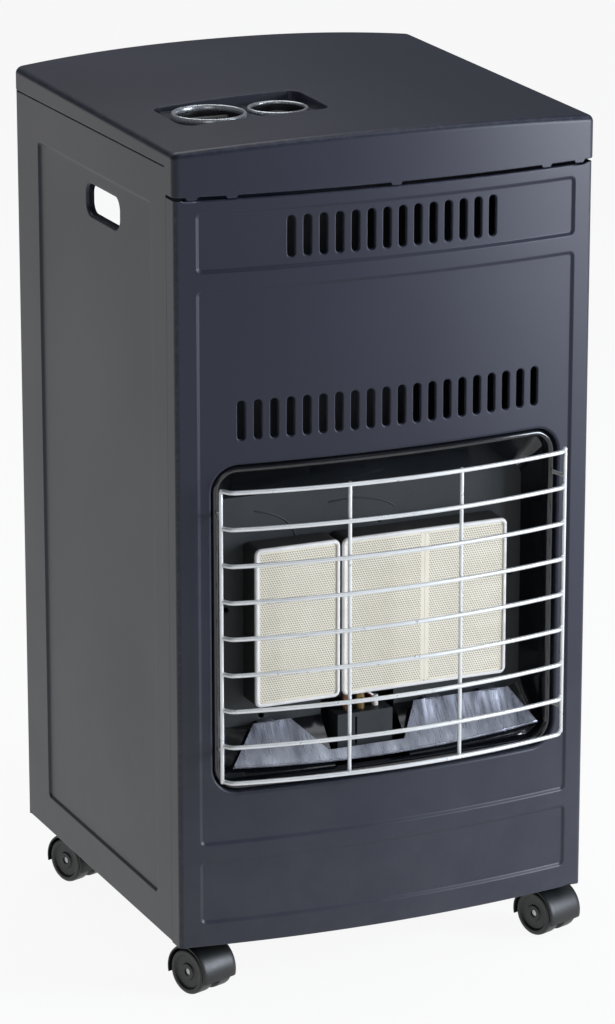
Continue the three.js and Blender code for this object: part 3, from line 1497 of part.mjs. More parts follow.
function casterGroup({ name, x, y }) {
  const caster = new THREE.Group();
  caster.position.set(x, y, -FLOOR_GAP);
  const swivel = new THREE.Group();
  swivel.rotation.z = radians(CASTER_TURN);
  const hub = [CASTER_TRAIL, 0, WHEEL_RADIUS];
  caster.add(piece("caster_" + name + "_plate", casterPlate(), BRIGHT_SHEET), swivel);
  swivel.add(
    piece("caster_" + name + "_hood", casterHood(), BLACK_PLASTIC),
    piece("caster_" + name + "_axle", casterAxle(), BRIGHT_SHEET, hub),
    piece("caster_" + name + "_wheel_left", casterWheel(1), WHEEL_PLASTIC, hub),
    piece("caster_" + name + "_wheel_right", casterWheel(-1), WHEEL_PLASTIC, hub),
  );
  return caster;
}

// The heater stands on z = 0 with the middle of its outline over the origin.
const heater = new THREE.Group();
heater.add(cabinetGroup(), controlsGroup(), fireboxGroup(), ...CASTERS.map(casterGroup));
const outline = new THREE.Box3().setFromObject(heater);
const middle = outline.getCenter(new THREE.Vector3());
heater.position.set(-middle.x, -middle.y, -outline.min.z);

export default heater;
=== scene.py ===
import json
import math

import bpy
import numpy as np
from mathutils import Euler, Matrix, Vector
from mathutils.geometry import delaunay_2d_cdt


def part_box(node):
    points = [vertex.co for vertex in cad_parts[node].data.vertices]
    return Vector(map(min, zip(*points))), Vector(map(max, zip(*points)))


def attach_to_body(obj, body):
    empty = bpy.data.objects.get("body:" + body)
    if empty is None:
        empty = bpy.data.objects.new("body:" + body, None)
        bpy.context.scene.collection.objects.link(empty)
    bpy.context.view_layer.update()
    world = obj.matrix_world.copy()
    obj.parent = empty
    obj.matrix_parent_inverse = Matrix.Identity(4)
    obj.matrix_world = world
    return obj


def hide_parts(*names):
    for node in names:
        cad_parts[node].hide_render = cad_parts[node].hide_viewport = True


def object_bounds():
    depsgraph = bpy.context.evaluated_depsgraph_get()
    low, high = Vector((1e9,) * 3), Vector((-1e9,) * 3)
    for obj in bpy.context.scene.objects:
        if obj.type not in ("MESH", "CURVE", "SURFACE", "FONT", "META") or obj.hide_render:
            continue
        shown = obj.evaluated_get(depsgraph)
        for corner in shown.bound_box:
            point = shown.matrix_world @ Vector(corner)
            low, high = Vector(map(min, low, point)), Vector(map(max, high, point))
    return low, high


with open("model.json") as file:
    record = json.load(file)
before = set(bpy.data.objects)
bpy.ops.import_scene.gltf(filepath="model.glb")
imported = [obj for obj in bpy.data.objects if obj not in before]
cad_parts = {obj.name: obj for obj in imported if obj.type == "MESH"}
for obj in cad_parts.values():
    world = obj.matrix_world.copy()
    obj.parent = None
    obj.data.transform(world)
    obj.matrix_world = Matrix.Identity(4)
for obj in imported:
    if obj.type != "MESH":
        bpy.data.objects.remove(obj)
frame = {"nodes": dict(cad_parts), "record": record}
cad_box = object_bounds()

# Sizes are millimetres in the cabinet's own frame: x runs across with 0 in the middle, y runs back
# from the front corners, and z is 0 at the lower edge of the panels.
MM = 1000

RETURN = 19.0  # depth of the front panel's folded sides

left_low, left_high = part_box("side_panel_left")
right_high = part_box("side_panel_right")[1]
ORIGIN = np.array([
    (left_low.x + right_high.x) / 2,
    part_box("front_panel")[1].y - RETURN / MM,
    left_low.z,
])
DEPTH = (left_high.y - ORIGIN[1]) * MM


def in_frame(points):
    return np.asarray(points, float) / MM + ORIGIN


def box_of(node):
    low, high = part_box(node)
    return (np.array(low) - ORIGIN) * MM, (np.array(high) - ORIGIN) * MM


HALF = (right_high.x - left_low.x) / 2 * MM
FRONT_TOP = box_of("front_panel")[1][2]
SIDE_TOP = box_of("side_panel_left")[1][2]
BOW = -box_of("front_panel")[0][1]
FLOOR = -ORIGIN[2] * MM
SHEET = 1.2
SEAT = 0.3  # gap kept where one piece rests on another


def bow_at(x):
    return -BOW * (1 - (np.asarray(x) / HALF) ** 2)


# ---------------- meshes


def turned_out(points, faces):
    """The faces of a closed shell, turned so that they look outwards."""
    volume = 0.0
    for face in faces:
        a = points[face[0]]
        for i in range(1, len(face) - 1):
            volume += float(np.dot(a, np.cross(points[face[i]], points[face[i + 1]])))
    return [tuple(reversed(face)) for face in faces] if volume < 0 else faces


def attach(name, mesh, body, nodes, slot):
    piece = bpy.data.objects.new(name, mesh)
    bpy.context.scene.collection.objects.link(piece)
    mesh.materials.append(FINISHES[slot])
    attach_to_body(piece, body)
    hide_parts(*nodes)
    return piece


def smooth_mesh(name, points, faces):
    mesh = bpy.data.meshes.new(name)
    mesh.from_pydata(in_frame(points).tolist(), [], faces)
    mesh.polygons.foreach_set("use_smooth", [True] * len(mesh.polygons))
    return mesh


def show(name, shells, body, nodes, slot, crease=40):
    """A piece from its shells, smooth except where faces meet at more than crease degrees."""
    points, faces = [], []
    for shell, sides in shells:
        start = len(points)
        points.extend(shell.tolist())
        faces.extend(tuple(i + start for i in side) for side in turned_out(shell, sides))
    mesh = smooth_mesh(name, points, faces)
    mesh.set_sharp_from_angle(angle=math.radians(crease))
    attach(name, mesh, body, nodes, slot)


def show_sheet(name, sheet, body, nodes, slot):
    """A pressed sheet with its own normals and the amount of wear at each point."""
    points, faces, normals, wear = sheet
    mesh = smooth_mesh(name, points, faces)
    mesh.normals_split_custom_set(normals)
    attribute = mesh.attributes.new("edge_wear", "FLOAT", "POINT")
    attribute.data.foreach_set("value", np.asarray(wear, np.float32))
    return attach(name, mesh, body, nodes, slot)


def hoop(rings):
    """A closed sweep through equal rings of points."""
    count = len(rings[0])
    faces = []
    for k in range(len(rings)):
        after = (k + 1) % len(rings)
        for i in range(count):
            j = (i + 1) % count
            faces.append((k * count + i, k * count + j, after * count + j, after * count + i))
    return np.concatenate([np.asarray(ring, float) for ring in rings]), faces


def tube_between(rings):
    """A sweep through equal rings, closed by its first and last ring."""
    count = len(rings[0])
    faces = [tuple(range(count)), tuple((len(rings) - 1) * count + i for i in reversed(range(count)))]
    for k in range(len(rings) - 1):
        for i in range(count):
            j = (i + 1) % count
            faces.append((k * count + i, (k + 1) * count + i, (k + 1) * count + j, k * count + j))
    return np.concatenate([np.asarray(ring, float) for ring in rings]), faces


def lathe(profile, centre, axis="z", sides=64):
    """(radius, height) points turned round an axis: a closed ring, or ended on the axis."""
    angle = np.arange(sides) * 2 * np.pi / sides
    rings = []
    for radius, height in profile:
        across, up = radius * np.cos(angle), radius * np.sin(angle)
        level = np.full(sides, height)
        ring = [across, up, level] if axis == "z" else [across, level, up]
        rings.append(np.stack(ring, 1) + np.asarray(centre, float))
    if profile[0][0] != 0:
        return hoop(rings)
    middle = rings[1:-1]
    points = np.concatenate([rings[0][:1], *middle, rings[-1][:1]])
    faces = []
    end = len(points) - 1
    for i in range(sides):
        j = (i + 1) % sides
        faces.append((0, 1 + j, 1 + i))
        for k in range(len(middle) - 1):
            a, b = 1 + k * sides, 1 + (k + 1) * sides
            faces.append((a + i, a + j, b + j, b + i))
        a = 1 + (len(middle) - 1) * sides
        faces.append((end, a + i, a + j))
    return points, faces


def bend(before, corner, after, radius, room, steps):
    """Points round a corner, on a curve that takes up at most the share room of either side."""
    a, b = before - corner, after - corner
    reach = min(radius, room * np.linalg.norm(a), room * np.linalg.norm(b))
    if reach < 1e-6:
        return [corner]
    start = corner + a / np.linalg.norm(a) * reach
    end = corner + b / np.linalg.norm(b) * reach
    shares = np.linspace(0, 1, steps)
    return [(1 - t) ** 2 * start + 2 * t * (1 - t) * corner + t * t * end for t in shares]


def rounded(points, radius, steps=5):
    """A line of points whose inner corners are rounded."""
    points = [np.asarray(p, float) for p in points]
    out = [points[0]]
    for before, corner, after in zip(points, points[1:], points[2:]):
        out += bend(before, corner, after, radius, 0.45, steps)
    return np.array([*out, points[-1]])


def round_profile(corners, steps=5):
    """A closed profile of (radius, height, rounding) corners."""
    spots = [np.array(corner[:2], float) for corner in corners]
    out = []
    for k, (_, _, rounding) in enumerate(corners):
        out += bend(spots[k - 1], spots[k], spots[(k + 1) % len(spots)], rounding, 0.49, steps)
    return [tuple(p) for p in out]


def wire(path, radius, sides=12):
    """A round wire along a path, with domed ends."""
    path = np.asarray(path, float)
    along = np.gradient(path, axis=0)
    along /= np.linalg.norm(along, axis=1)[:, None]
    across = np.cross(along[0], [0.31, 0.17, 0.93])
    rings = []
    stations = [(0, -0.92, 0.38), (0, -0.6, 0.8)]
    stations += [(i, 0, 1) for i in range(len(path))]
    stations += [(len(path) - 1, 0.6, 0.8), (len(path) - 1, 0.92, 0.38)]
    angle = np.arange(sides) * 2 * np.pi / sides
    for i, ahead, share in stations:
        across = across - along[i] * np.dot(across, along[i])
        across /= np.linalg.norm(across)
        up = np.cross(along[i], across)
        rim = np.outer(np.cos(angle), across) + np.outer(np.sin(angle), up)
        rings.append(path[i] + along[i] * ahead * radius + rim * radius * share)
    return tube_between(rings)


def smooth(t):
    t = np.clip(t, 0, 1)
    return t * t * (3 - 2 * t)


def distance(u, v, box, radius):
    """Distance outside a rounded rectangle (u0, u1, v0, v1), negative inside it."""
    du = np.abs(u - (box[0] + box[1]) / 2) - (box[1] - box[0]) / 2 + radius
    dv = np.abs(v - (box[2] + box[3]) / 2) - (box[3] - box[2]) / 2 + radius
    return np.hypot(np.maximum(du, 0), np.maximum(dv, 0)) + np.minimum(np.maximum(du, dv), 0) - radius


def outline(box, radius, out=0.0, steps=8, span=25.0, cuts=None):
    """Points round a rounded rectangle grown by out. Its sides are divided at about every span, or
    into as many cuts whatever their length."""
    r = radius + out
    u0, u1, v0, v1 = box[0] - out + r, box[1] + out - r, box[2] - out + r, box[3] + out - r
    corners = [(u1, v1), (u0, v1), (u0, v0), (u1, v0)]
    points = []
    for k, (u, v) in enumerate(corners):
        for s in range(steps + 1):
            angle = math.radians(90 * (k + s / steps))
            points.append((u + r * math.cos(angle), v + r * math.sin(angle)))
        nu, nv = corners[(k + 1) % 4]
        last = points[-1]
        parts = cuts or int(math.hypot(nu - u, nv - v) // span) + 1
        for s in range(1, parts):
            t = s / parts
            points.append((last[0] + (nu - u) * t, last[1] + (nv - v) * t))
    if cuts:
        return points
    clean = [points[0]]
    for p in points[1:]:
        if math.dist(p, clean[-1]) > 1e-3:
            clean.append(p)
    if math.dist(clean[0], clean[-1]) < 1e-3:
        clean.pop()
    return clean


def within(loop, points):
    """Which points lie inside a loop."""
    loop = np.asarray(loop, float)
    found = np.zeros(len(points), bool)
    low, high = loop.min(0), loop.max(0)
    near = np.all((points >= low) & (points <= high), axis=1)
    p = points[near]
    odd = np.zeros(len(p), bool)
    for a, b in zip(loop, np.roll(loop, -1, axis=0)):
        crosses = (a[1] > p[:, 1]) != (b[1] > p[:, 1])
        with np.errstate(divide="ignore", invalid="ignore"):
            at = (b[0] - a[0]) * (p[:, 1] - a[1]) / (b[1] - a[1]) + a[0]
        odd ^= crosses & (p[:, 0] < at)
    found[near] = odd
    return found


def triangles(edge, holes=(), guides=(), lines=(), dots=()):
    """Triangles of a flat region: points, faces, and the new index of each point of its edge."""
    points, edges = [], []
    loops = [edge, *holes, *guides]
    for k, line in enumerate([*loops, *lines]):
        start, count = len(points), len(line)
        points.extend(tuple(p) for p in line)
        parts = count if k < len(loops) else count - 1
        edges.extend((start + i, start + (i + 1) % count) for i in range(parts))
    points.extend(tuple(p) for p in dots)
    found = delaunay_2d_cdt([Vector(p) for p in points], edges, [], 0, 1e-4)
    flat = np.array([tuple(p) for p in found[0]])
    faces = np.array([tuple(f) for f in found[2]])
    middle = flat[faces].mean(axis=1)
    keep = within(edge, middle)
    for hole in holes:
        keep &= ~within(hole, middle)
    faces = faces[keep]
    a, b, c = flat[faces[:, 0]], flat[faces[:, 1]], flat[faces[:, 2]]
    turn = (b[:, 0] - a[:, 0]) * (c[:, 1] - a[:, 1]) - (b[:, 1] - a[:, 1]) * (c[:, 0] - a[:, 0])
    faces = faces[np.abs(turn) > 1e-9]
    turn = turn[np.abs(turn) > 1e-9]
    faces[turn < 0] = faces[turn < 0][:, ::-1]
    used = np.unique(faces)
    index = np.full(len(flat), -1)
    index[used] = np.arange(len(used))
    rim = {}
    for new, sources in enumerate(found[3]):
        for source in sources:
            if source < len(edge):
                rim[source] = int(index[new])
    return flat[used], index[faces], rim


def doubled(outer, inner, faces, normals, wear):
    """A closed sheet from its two layers: (points, faces, normal of each corner, wear)."""
    count = len(outer)
    outer, inner = np.asarray(outer), np.asarray(inner)
    faces = [tuple(int(i) for i in face) for face in faces]
    a, b, c = (outer[[face[k] for face in faces]] for k in range(3))
    flat = np.cross(b - a, c - a)
    if np.sum(flat * normals[[face[0] for face in faces]]) < 0:
        faces = [tuple(reversed(face)) for face in faces]
    seen = {(face[i], face[(i + 1) % len(face)]) for face in faces for i in range(len(face))}
    rims = sorted((q, p, p + count, q + count) for p, q in seen if (q, p) not in seen)
    points = np.concatenate([outer, inner])
    corners = [normals[i] for face in faces for i in face]
    under = [tuple(i + count for i in reversed(face)) for face in faces]
    corners += [-normals[i - count] for face in under for i in face]
    for rim in rims:
        across = np.cross(points[rim[2]] - points[rim[0]], points[rim[3]] - points[rim[1]])
        size = np.linalg.norm(across)
        across = across / size if size > 1e-9 else normals[rim[0]]
        corners += [across] * 4
    return points, faces + under + rims, np.array(corners).tolist(), np.concatenate([wear, wear])


ROLL_START = 0.3  # flat left at the end of a rolled edge


class Hole:
    """A rounded opening whose edge rolls inwards by roll and reaches depth."""

    def __init__(self, box, radius, roll, depth, steps=8):
        self.box, self.radius, self.roll, self.depth, self.steps = box, radius, roll, depth, steps

    def sink(self, u, v):
        out = distance(u, v, self.box, self.radius)
        share = np.clip((ROLL_START + self.roll - out) / self.roll, 0, 1)
        rolled = self.roll * (1 - np.sqrt(1 - share**2))
        return rolled + (self.depth - self.roll) * np.clip(1 - out / ROLL_START, 0, 1), share

    def loops(self, span):
        turns = [15, 30, 45, 60, 75] if self.roll > 2 else [30, 55, 75]
        outs = [ROLL_START] + [
            ROLL_START + self.roll * (1 - math.sin(math.radians(t))) for t in reversed(turns)
        ]
        outs.append(ROLL_START + self.roll)
        return [outline(self.box, self.radius, out, self.steps, span) for out in outs]


def pressed(place, edge, thick=SHEET, fields=(), holes=(), lines=(), gap=(12, 18), span=14):
    """A pressed sheet. place(u, v, depth) gives points and wear; fields are
    (box, radius, sink, slope)."""

    def sink(u, v):
        depth, wear = np.zeros(len(u)), np.zeros(len(u))
        for box, radius, fall, slope in fields:
            depth += fall * smooth(-distance(u, v, box, radius) / slope)
        for hole in holes:
            fall, share = hole.sink(u, v)
            depth += fall
            wear = np.maximum(wear, share**3)
        return depth, wear

    def surface(u, v, under=0.0):
        depth, wear = sink(u, v)
        points, fold_wear = place(u, v, depth + under)
        return points, np.maximum(wear, fold_wear)

    guides = []
    for box, radius, _, slope in fields:
        guides += [outline(box, radius, -slope * t, 6, span) for t in (0, 0.2, 0.4, 0.6, 0.8, 1)]
    for hole in holes:
        guides += hole.loops(span)
    low, high = np.min(edge, axis=0), np.max(edge, axis=0)
    u, v = np.meshgrid(np.arange(low[0] + 4, high[0], gap[0]), np.arange(low[1] + 4, high[1], gap[1]))
    dots = np.stack([u.ravel(), v.ravel()], 1)
    dots = dots[within(edge, dots)]
    for hole in holes:
        dots = dots[distance(dots[:, 0], dots[:, 1], hole.box, hole.radius) > hole.roll + 1]
    flat, faces, _ = triangles(
        edge, [outline(h.box, h.radius, 0, h.steps, span) for h in holes], guides, lines, dots
    )
    u, v = flat[:, 0], flat[:, 1]
    outer, wear = surface(u, v)
    inner, _ = surface(u, v, thick)
    step = 0.03
    run = surface(u + step, v)[0] - surface(u - step, v)[0]
    rise = surface(u, v + step)[0] - surface(u, v - step)[0]
    normals = np.cross(run, rise)
    normals /= np.maximum(np.linalg.norm(normals, axis=1), 1e-12)[:, None]
    inward = place(u, v, np.full(len(u), 1.0))[0] - place(u, v, np.zeros(len(u)))[0]
    if np.sum(normals * inward) > 0:
        normals = -normals
    return doubled(outer, inner, faces, normals, wear)


def folded(plan, low, high, radius, turn=1, tab=math.inf):
    """Places a sheet on a plan (u to x, y, inward direction and wear) whose edges at low and high
    fold over, inwards where turn is 1 and outwards where it is -1, and no further out than tab."""

    def place(u, v, depth):
        base, inward, wear = plan(u)
        up = v > (low + high) / 2
        past = np.where(up, v - (high - radius), (low + radius) - v)
        past = np.where(np.abs(u) > tab + 0.01, 0, np.maximum(past, 0))
        angle = np.minimum(past / radius, np.pi / 2)
        flat = np.maximum(past - radius * np.pi / 2, 0)
        back = turn * (radius * (1 - np.cos(angle)) + flat) + depth * np.cos(angle)
        side = np.where(up, 1.0, -1.0)
        edge = np.where(up, high - radius, low + radius)
        height = np.where(past > 0, edge + side * (radius * np.sin(angle)), v)
        height = height - side * turn * depth * np.sin(angle)
        points = np.column_stack([base + inward * back[:, None], height])
        return points, np.maximum(wear, np.sin(2 * angle) ** 2)

    return place


def level_line(u0, u1, v, gap=12.0):
    return [(u, v) for u in np.linspace(u0, u1, max(int((u1 - u0) / gap), 2) + 1)]


def upright_line(u, v0, v1, gap=18.0):
    return [(u, v) for v in np.linspace(v0, v1, max(int((v1 - v0) / gap), 2) + 1)]


def arc_marks(start, radius, turns=(0, 18, 36, 54, 72, 90)):
    return [start + radius * math.radians(t) for t in turns]


# ---------------- finishes


def colour(value):
    """A colour written as it looks on a screen, as linear light."""
    parts = [int(value[i : i + 2], 16) / 255 for i in (0, 2, 4)]
    return [p / 12.92 if p <= 0.04045 else ((p + 0.055) / 1.055) ** 2.4 for p in parts] + [1]


class Finish:
    """Builds one procedural material from nodes."""

    def __init__(self, name):
        self.material = bpy.data.materials.new(name)
        self.material.use_nodes = True
        self.tree = self.material.node_tree
        self.shader = self.tree.nodes["Principled BSDF"]
        self.place = self.node("ShaderNodeTexCoord").outputs["Object"]

    def node(self, kind, values=(), **settings):
        """A node with its settings, and values or links for its inputs."""
        made = self.tree.nodes.new(kind)
        for key, value in settings.items():
            setattr(made, key, value)
        for key, value in dict(values).items():
            self.put(value, made.inputs[key])
        return made

    def put(self, value, socket):
        if isinstance(value, bpy.types.NodeSocket):
            self.tree.links.new(value, socket)
        else:
            socket.default_value = value

    def noise(self, scale, detail=3.0, rough=0.55, place=None):
        values = {"Vector": place or self.place, "Scale": scale, "Detail": detail, "Roughness": rough}
        return self.node("ShaderNodeTexNoise", values).outputs["Fac"]

    def stretched(self, factors):
        return self.node("ShaderNodeMapping", {"Vector": self.place, "Scale": factors}).outputs["Vector"]

    def along(self, axis):
        return self.node("ShaderNodeSeparateXYZ", {0: self.place}).outputs[axis]

    def attribute(self, name):
        return self.node("ShaderNodeAttribute", attribute_name=name).outputs["Fac"]

    def math(self, operation, first, second=0.0, third=0.0):
        return self.node("ShaderNodeMath", {0: first, 1: second, 2: third}, operation=operation).outputs[0]

    def spread(self, value, low, high, from_low=0.3, from_high=0.7):
        values = {"Value": value, "From Min": from_low, "From Max": from_high, "To Min": low,
                  "To Max": high}
        return self.node("ShaderNodeMapRange", values).outputs["Result"]

    def mix(self, share, *pair):
        """Two colours, each written or linked, mixed by share."""
        first, second = (colour(tone) if isinstance(tone, str) else tone for tone in pair)
        return self.node("ShaderNodeMix", {0: share, 6: first, 7: second}, data_type="RGBA").outputs[2]

    def bump(self, height, distance, strength=1.0, under=None):
        values = {"Height": height, "Distance": distance, "Strength": strength}
        if under is not None:
            values["Normal"] = under
        return self.node("ShaderNodeBump", values).outputs["Normal"]

    def end(self, base, roughness, normal, fixed=()):
        values = {"Base Color": base, "Roughness": roughness, "Normal": normal, **dict(fixed)}
        for key, value in values.items():
            self.put(value, self.shader.inputs[key])
        return self.material


def plain(name, dark, light, rough, patch, grain, relief, fixed):
    """A finish whose colour and roughness drift in patches, over a fine grain."""
    f = Finish(name)
    patches = f.noise(patch, 4, 0.6)
    grains = f.noise(grain, 3, 0.6)
    both = f.math("MULTIPLY_ADD", grains, 0.4, f.math("MULTIPLY", patches, 0.6))
    base = f.mix(f.spread(both, 0, 1, 0.35, 0.65), dark, light)
    return f.end(base, f.spread(both, *rough), f.bump(grains, relief), fixed)


def paint():
    """Satin powder coat: fine orange peel, slow drift of tone, and a painted lighter tone low down for the
    light that the floor throws up.
    """
    f = Finish("body_paint")
    drift = f.noise(5, 3, 0.5)
    speck = f.noise(1400, 2, 0.6)
    base = f.mix(f.spread(drift, 0, 1), "1f2230", "242736")
    base = f.mix(f.spread(speck, 0, 0.3, 0.5, 0.75), base, "31343f")
    # Painted light: the paint turns lighter towards the bottom, in patches, standing in for light thrown
    # up from the floor.
    painted_floor_light = f.math("MULTIPLY", f.spread(f.along(2), 0.4, 0, 0.1, 0.42), f.noise(14, 4, 0.7))
    base = f.mix(painted_floor_light, base, "5c5e5e")
    patches = f.spread(f.noise(160, 4, 0.7), 0, 0.35, 0.45, 0.7)
    base = f.mix(f.math("MULTIPLY", f.attribute("edge_wear"), patches), base, "565b65")
    rough = f.spread(f.math("MULTIPLY_ADD", speck, 0.3, f.math("MULTIPLY", drift, 0.7)), 0.36, 0.42)
    return f.end(base, rough, f.bump(f.noise(620, 2, 0.5), 0.000012), {"Specular IOR Level": 0.34})


def ceramic():
    """Cream perforated plaque: slanting rows of fine holes, painted darker as painted shade inside them,
    and a plain margin round each block.
    """
    f = Finish("plaque_ceramic")
    pitch = 0.0023
    x, z = f.along(0), f.along(2)
    column = f.math("FRACT", f.math("DIVIDE", f.math("MULTIPLY_ADD", z, 0.5, x), pitch))
    row = f.math("FRACT", f.math("DIVIDE", z, pitch * 0.9))
    across, up = (f.math("POWER", f.math("SUBTRACT", part, 0.5), 2.0) for part in (column, row))
    reach = f.math("SQRT", f.math("ADD", across, up))
    perforated = f.math("SUBTRACT", 1.0, f.attribute("bare_margin"))
    holes = f.math("MULTIPLY", f.spread(reach, 1, 0, 0.2, 0.38), perforated)
    tone = f.mix(f.spread(f.noise(35, 4, 0.6), 0, 1), "ebe2cb", "f2ead6")
    tone = f.mix(f.spread(f.noise(700, 2, 0.6), 0, 0.25), tone, "f8f4e8")
    # Painted shade: the holes take a darker tone for the shade inside the perforations.
    base = f.mix(holes, tone, "a09a8a")
    grain = f.bump(f.noise(900, 3, 0.6), 0.00004)
    depth = f.bump(f.math("MULTIPLY", holes, -1.0), 0.0004, 0.6, grain)
    return f.end(base, f.spread(f.noise(300, 3), 0.82, 0.95), depth, {"Specular IOR Level": 0.25})


def bright_wire():
    """Bright plated wire: slightly cloudy, with a little heat tint."""
    f = Finish("guard_wire")
    base = f.mix(f.spread(f.noise(25, 3, 0.5), 0, 1), "dcdedd", "e9ebea")
    base = f.mix(f.spread(f.noise(9, 2), 0, 0.12, 0.55, 0.8), base, "cdbf9f")
    return f.end(base, f.spread(f.noise(60, 3), 0.26, 0.36), f.bump(f.noise(300, 2), 0.000001, 0.3),
                 {"Metallic": 0.45})


def mirror_sheet():
    """Satin rolled aluminium with soft waves across the sheet."""
    f = Finish("reflector_sheet")
    wide, fine = f.stretched((3, 1, 1)), f.noise(60, 3, 0.6, f.stretched((12, 1, 1)))
    base = f.mix(f.spread(f.noise(14, 4, 0.6, wide), 0, 1), "777a85", "b4b7c1")
    waved = f.bump(f.noise(16, 2, 0.5, wide), 0.0022, 0.9)
    normal = f.bump(fine, 0.000002, 0.3, waved)
    return f.end(base, f.spread(fine, 0.24, 0.36), normal, {"Metallic": 0.85})


def burner_steel():
    """Pale aluminised sheet whose flanks behind the front rim are painted dark: painted shade where they
    face the dark inside of the firebox.
    """
    f = Finish("burner_sheet")
    patches = f.noise(60, 4, 0.6)
    drift = f.spread(patches, 0, 1)
    rim = float(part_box("burner_frame_left")[0].y)
    # Painted shade: the sheet turns dark behind the front rim.
    behind = f.spread(f.along(1), 0, 1, rim + 0.0016, rim + 0.003)
    base = f.mix(behind, f.mix(drift, "e3e1dc", "f3f1ed"), f.mix(drift, "2b2b2a", "3b3a38"))
    return f.end(base, f.spread(patches, 0.4, 0.55), f.bump(f.noise(700), 0.00002), {"Metallic": 0.12})


# Name, dark and light tone, least and most roughness, scale of the patches and of the grain,
# height of the grain, and other inputs of the shader.
PLAIN = [
    ("inner_steel", "24282a", "2f3436", (0.45, 0.6), 18, 500, 0.00003, {"Metallic": 0.2}),
    ("black_enamel", "0b0d10", "15181c", (0.1, 0.17), 9, 240, 0.00002,
     {"Coat Weight": 0.5, "Coat Roughness": 0.06}),
    ("white_ceramic", "dcd9d0", "eeece6", (0.25, 0.4), 80, 600, 0.00001, {}),
    ("black_plastic", "131517", "1d2023", (0.38, 0.52), 30, 1300, 0.00003, {}),
    ("caster_plastic", "0f1211", "1c201f", (0.34, 0.5), 40, 1100, 0.00003, {}),
    ("bright_chrome", "b2b6ba", "caced1", (0.22, 0.32), 30, 500, 0.000004, {"Metallic": 0.7}),
    ("brass_fittings", "6e5f42", "8a754c", (0.36, 0.5), 60, 700, 0.00001, {"Metallic": 1.0}),
    ("valve_alloy", "85888c", "a0a3a6", (0.45, 0.62), 70, 500, 0.00006, {"Metallic": 0.85}),
    ("copper_pipe", "5f483a", "7e5a48", (0.34, 0.54), 50, 400, 0.00001, {"Metallic": 1.0}),
    ("lead_insulation", "7d2118", "9a3022", (0.45, 0.6), 60, 800, 0.00002, {}),
    ("zinc_steel", "a6aaad", "c4c7c9", (0.3, 0.48), 45, 500, 0.00001, {"Metallic": 0.9}),
]
FINISHES = {
    "body_paint": paint(),
    "plaque_ceramic": ceramic(),
    "guard_wire": bright_wire(),
    "reflector_sheet": mirror_sheet(),
    "burner_sheet": burner_steel(),
}
FINISHES |= {row[0]: plain(*row) for row in PLAIN}

for part in frame["record"]["subparts"]:
    node = frame["nodes"][part["node"]]
    node.data.materials.clear()
    node.data.materials.append(FINISHES[part["material_slot"]])


# ---------------- front panel

CORNER = 5.0
END_SLOPE = 10  # degrees that the bowed face leans back where its rounded corners start
FOLD = 1.8
TOP_LIP = 8.0  # flat part of the folded upper edge
FOOT_LIP = 12.0
FIELD_SINK = 2.0
FIELD_SLOPE = 4.0
FIELD_RADIUS = 6.0
FIELD_HALF = 182.0
FIELDS = [(21, 82), (95, 604), (617, 672)]  # lower and upper edge of each sunk field
SLOT_WIDTH = 6.6
SLOT_ROWS = [(14, 14.8, 627, 663), (20, 14.9, 467, 502)]  # count, pitch, lower and upper end
SLOT_ROLL = 1.3
SLOT_LIP = 1.7
WINDOW = (-171.0, 171.0, 140.0, 447.0)
WINDOW_RADIUS = 27.0
WINDOW_ROLL = 3.0
WINDOW_LIP = 9.0

corner_start = HALF - CORNER + CORNER * math.sin(math.radians(END_SLOPE))
corner_y = float(bow_at(corner_start)) + CORNER * math.cos(math.radians(END_SLOPE))
corner_turn = math.radians(90 - END_SLOPE)
front_reach = corner_start + CORNER * corner_turn + RETURN - corner_y


def front_plan(u):
    """Bowed front, its rounded corners and its straight folded sides."""
    side = np.where(u < 0, -1.0, 1.0)
    out = np.abs(u)
    turn = np.clip((out - corner_start) / CORNER, 0, corner_turn)
    angle = turn - corner_turn
    straight = np.maximum(out - corner_start - CORNER * corner_turn, 0)
    on_face = out <= corner_start
    x = np.where(on_face, out, HALF - CORNER + CORNER * np.cos(angle))
    y = np.where(on_face, bow_at(out), corner_y + CORNER * np.sin(angle) + straight)
    nx = np.where(on_face, 0.0, -np.cos(angle))
    ny = np.where(on_face, 1.0, -np.sin(angle))
    wear = np.where(turn > 0, np.sin(np.pi * turn / corner_turn) ** 2, 0) * (straight == 0)
    return np.column_stack([side * x, y]), np.column_stack([side * nx, ny]), wear


def slot_holes(rows, width, roll, depth):
    """Rows of upright slots with round ends."""
    holes = []
    for count, pitch, low, high in rows:
        for i in range(count):
            x = (i - (count - 1) / 2) * pitch
            holes.append(Hole((x - width / 2, x + width / 2, low, high), width / 2 - 1e-3, roll, depth, 5))
    return holes


def fold_lines(start, end, high):
    """Level lines along the folds at the foot and at the top of a panel."""
    marks = arc_marks(0, FOLD)
    lines = [level_line(start, end, high - FOLD + m) for m in marks]
    return lines + [level_line(start, end, FOLD - m) for m in marks]


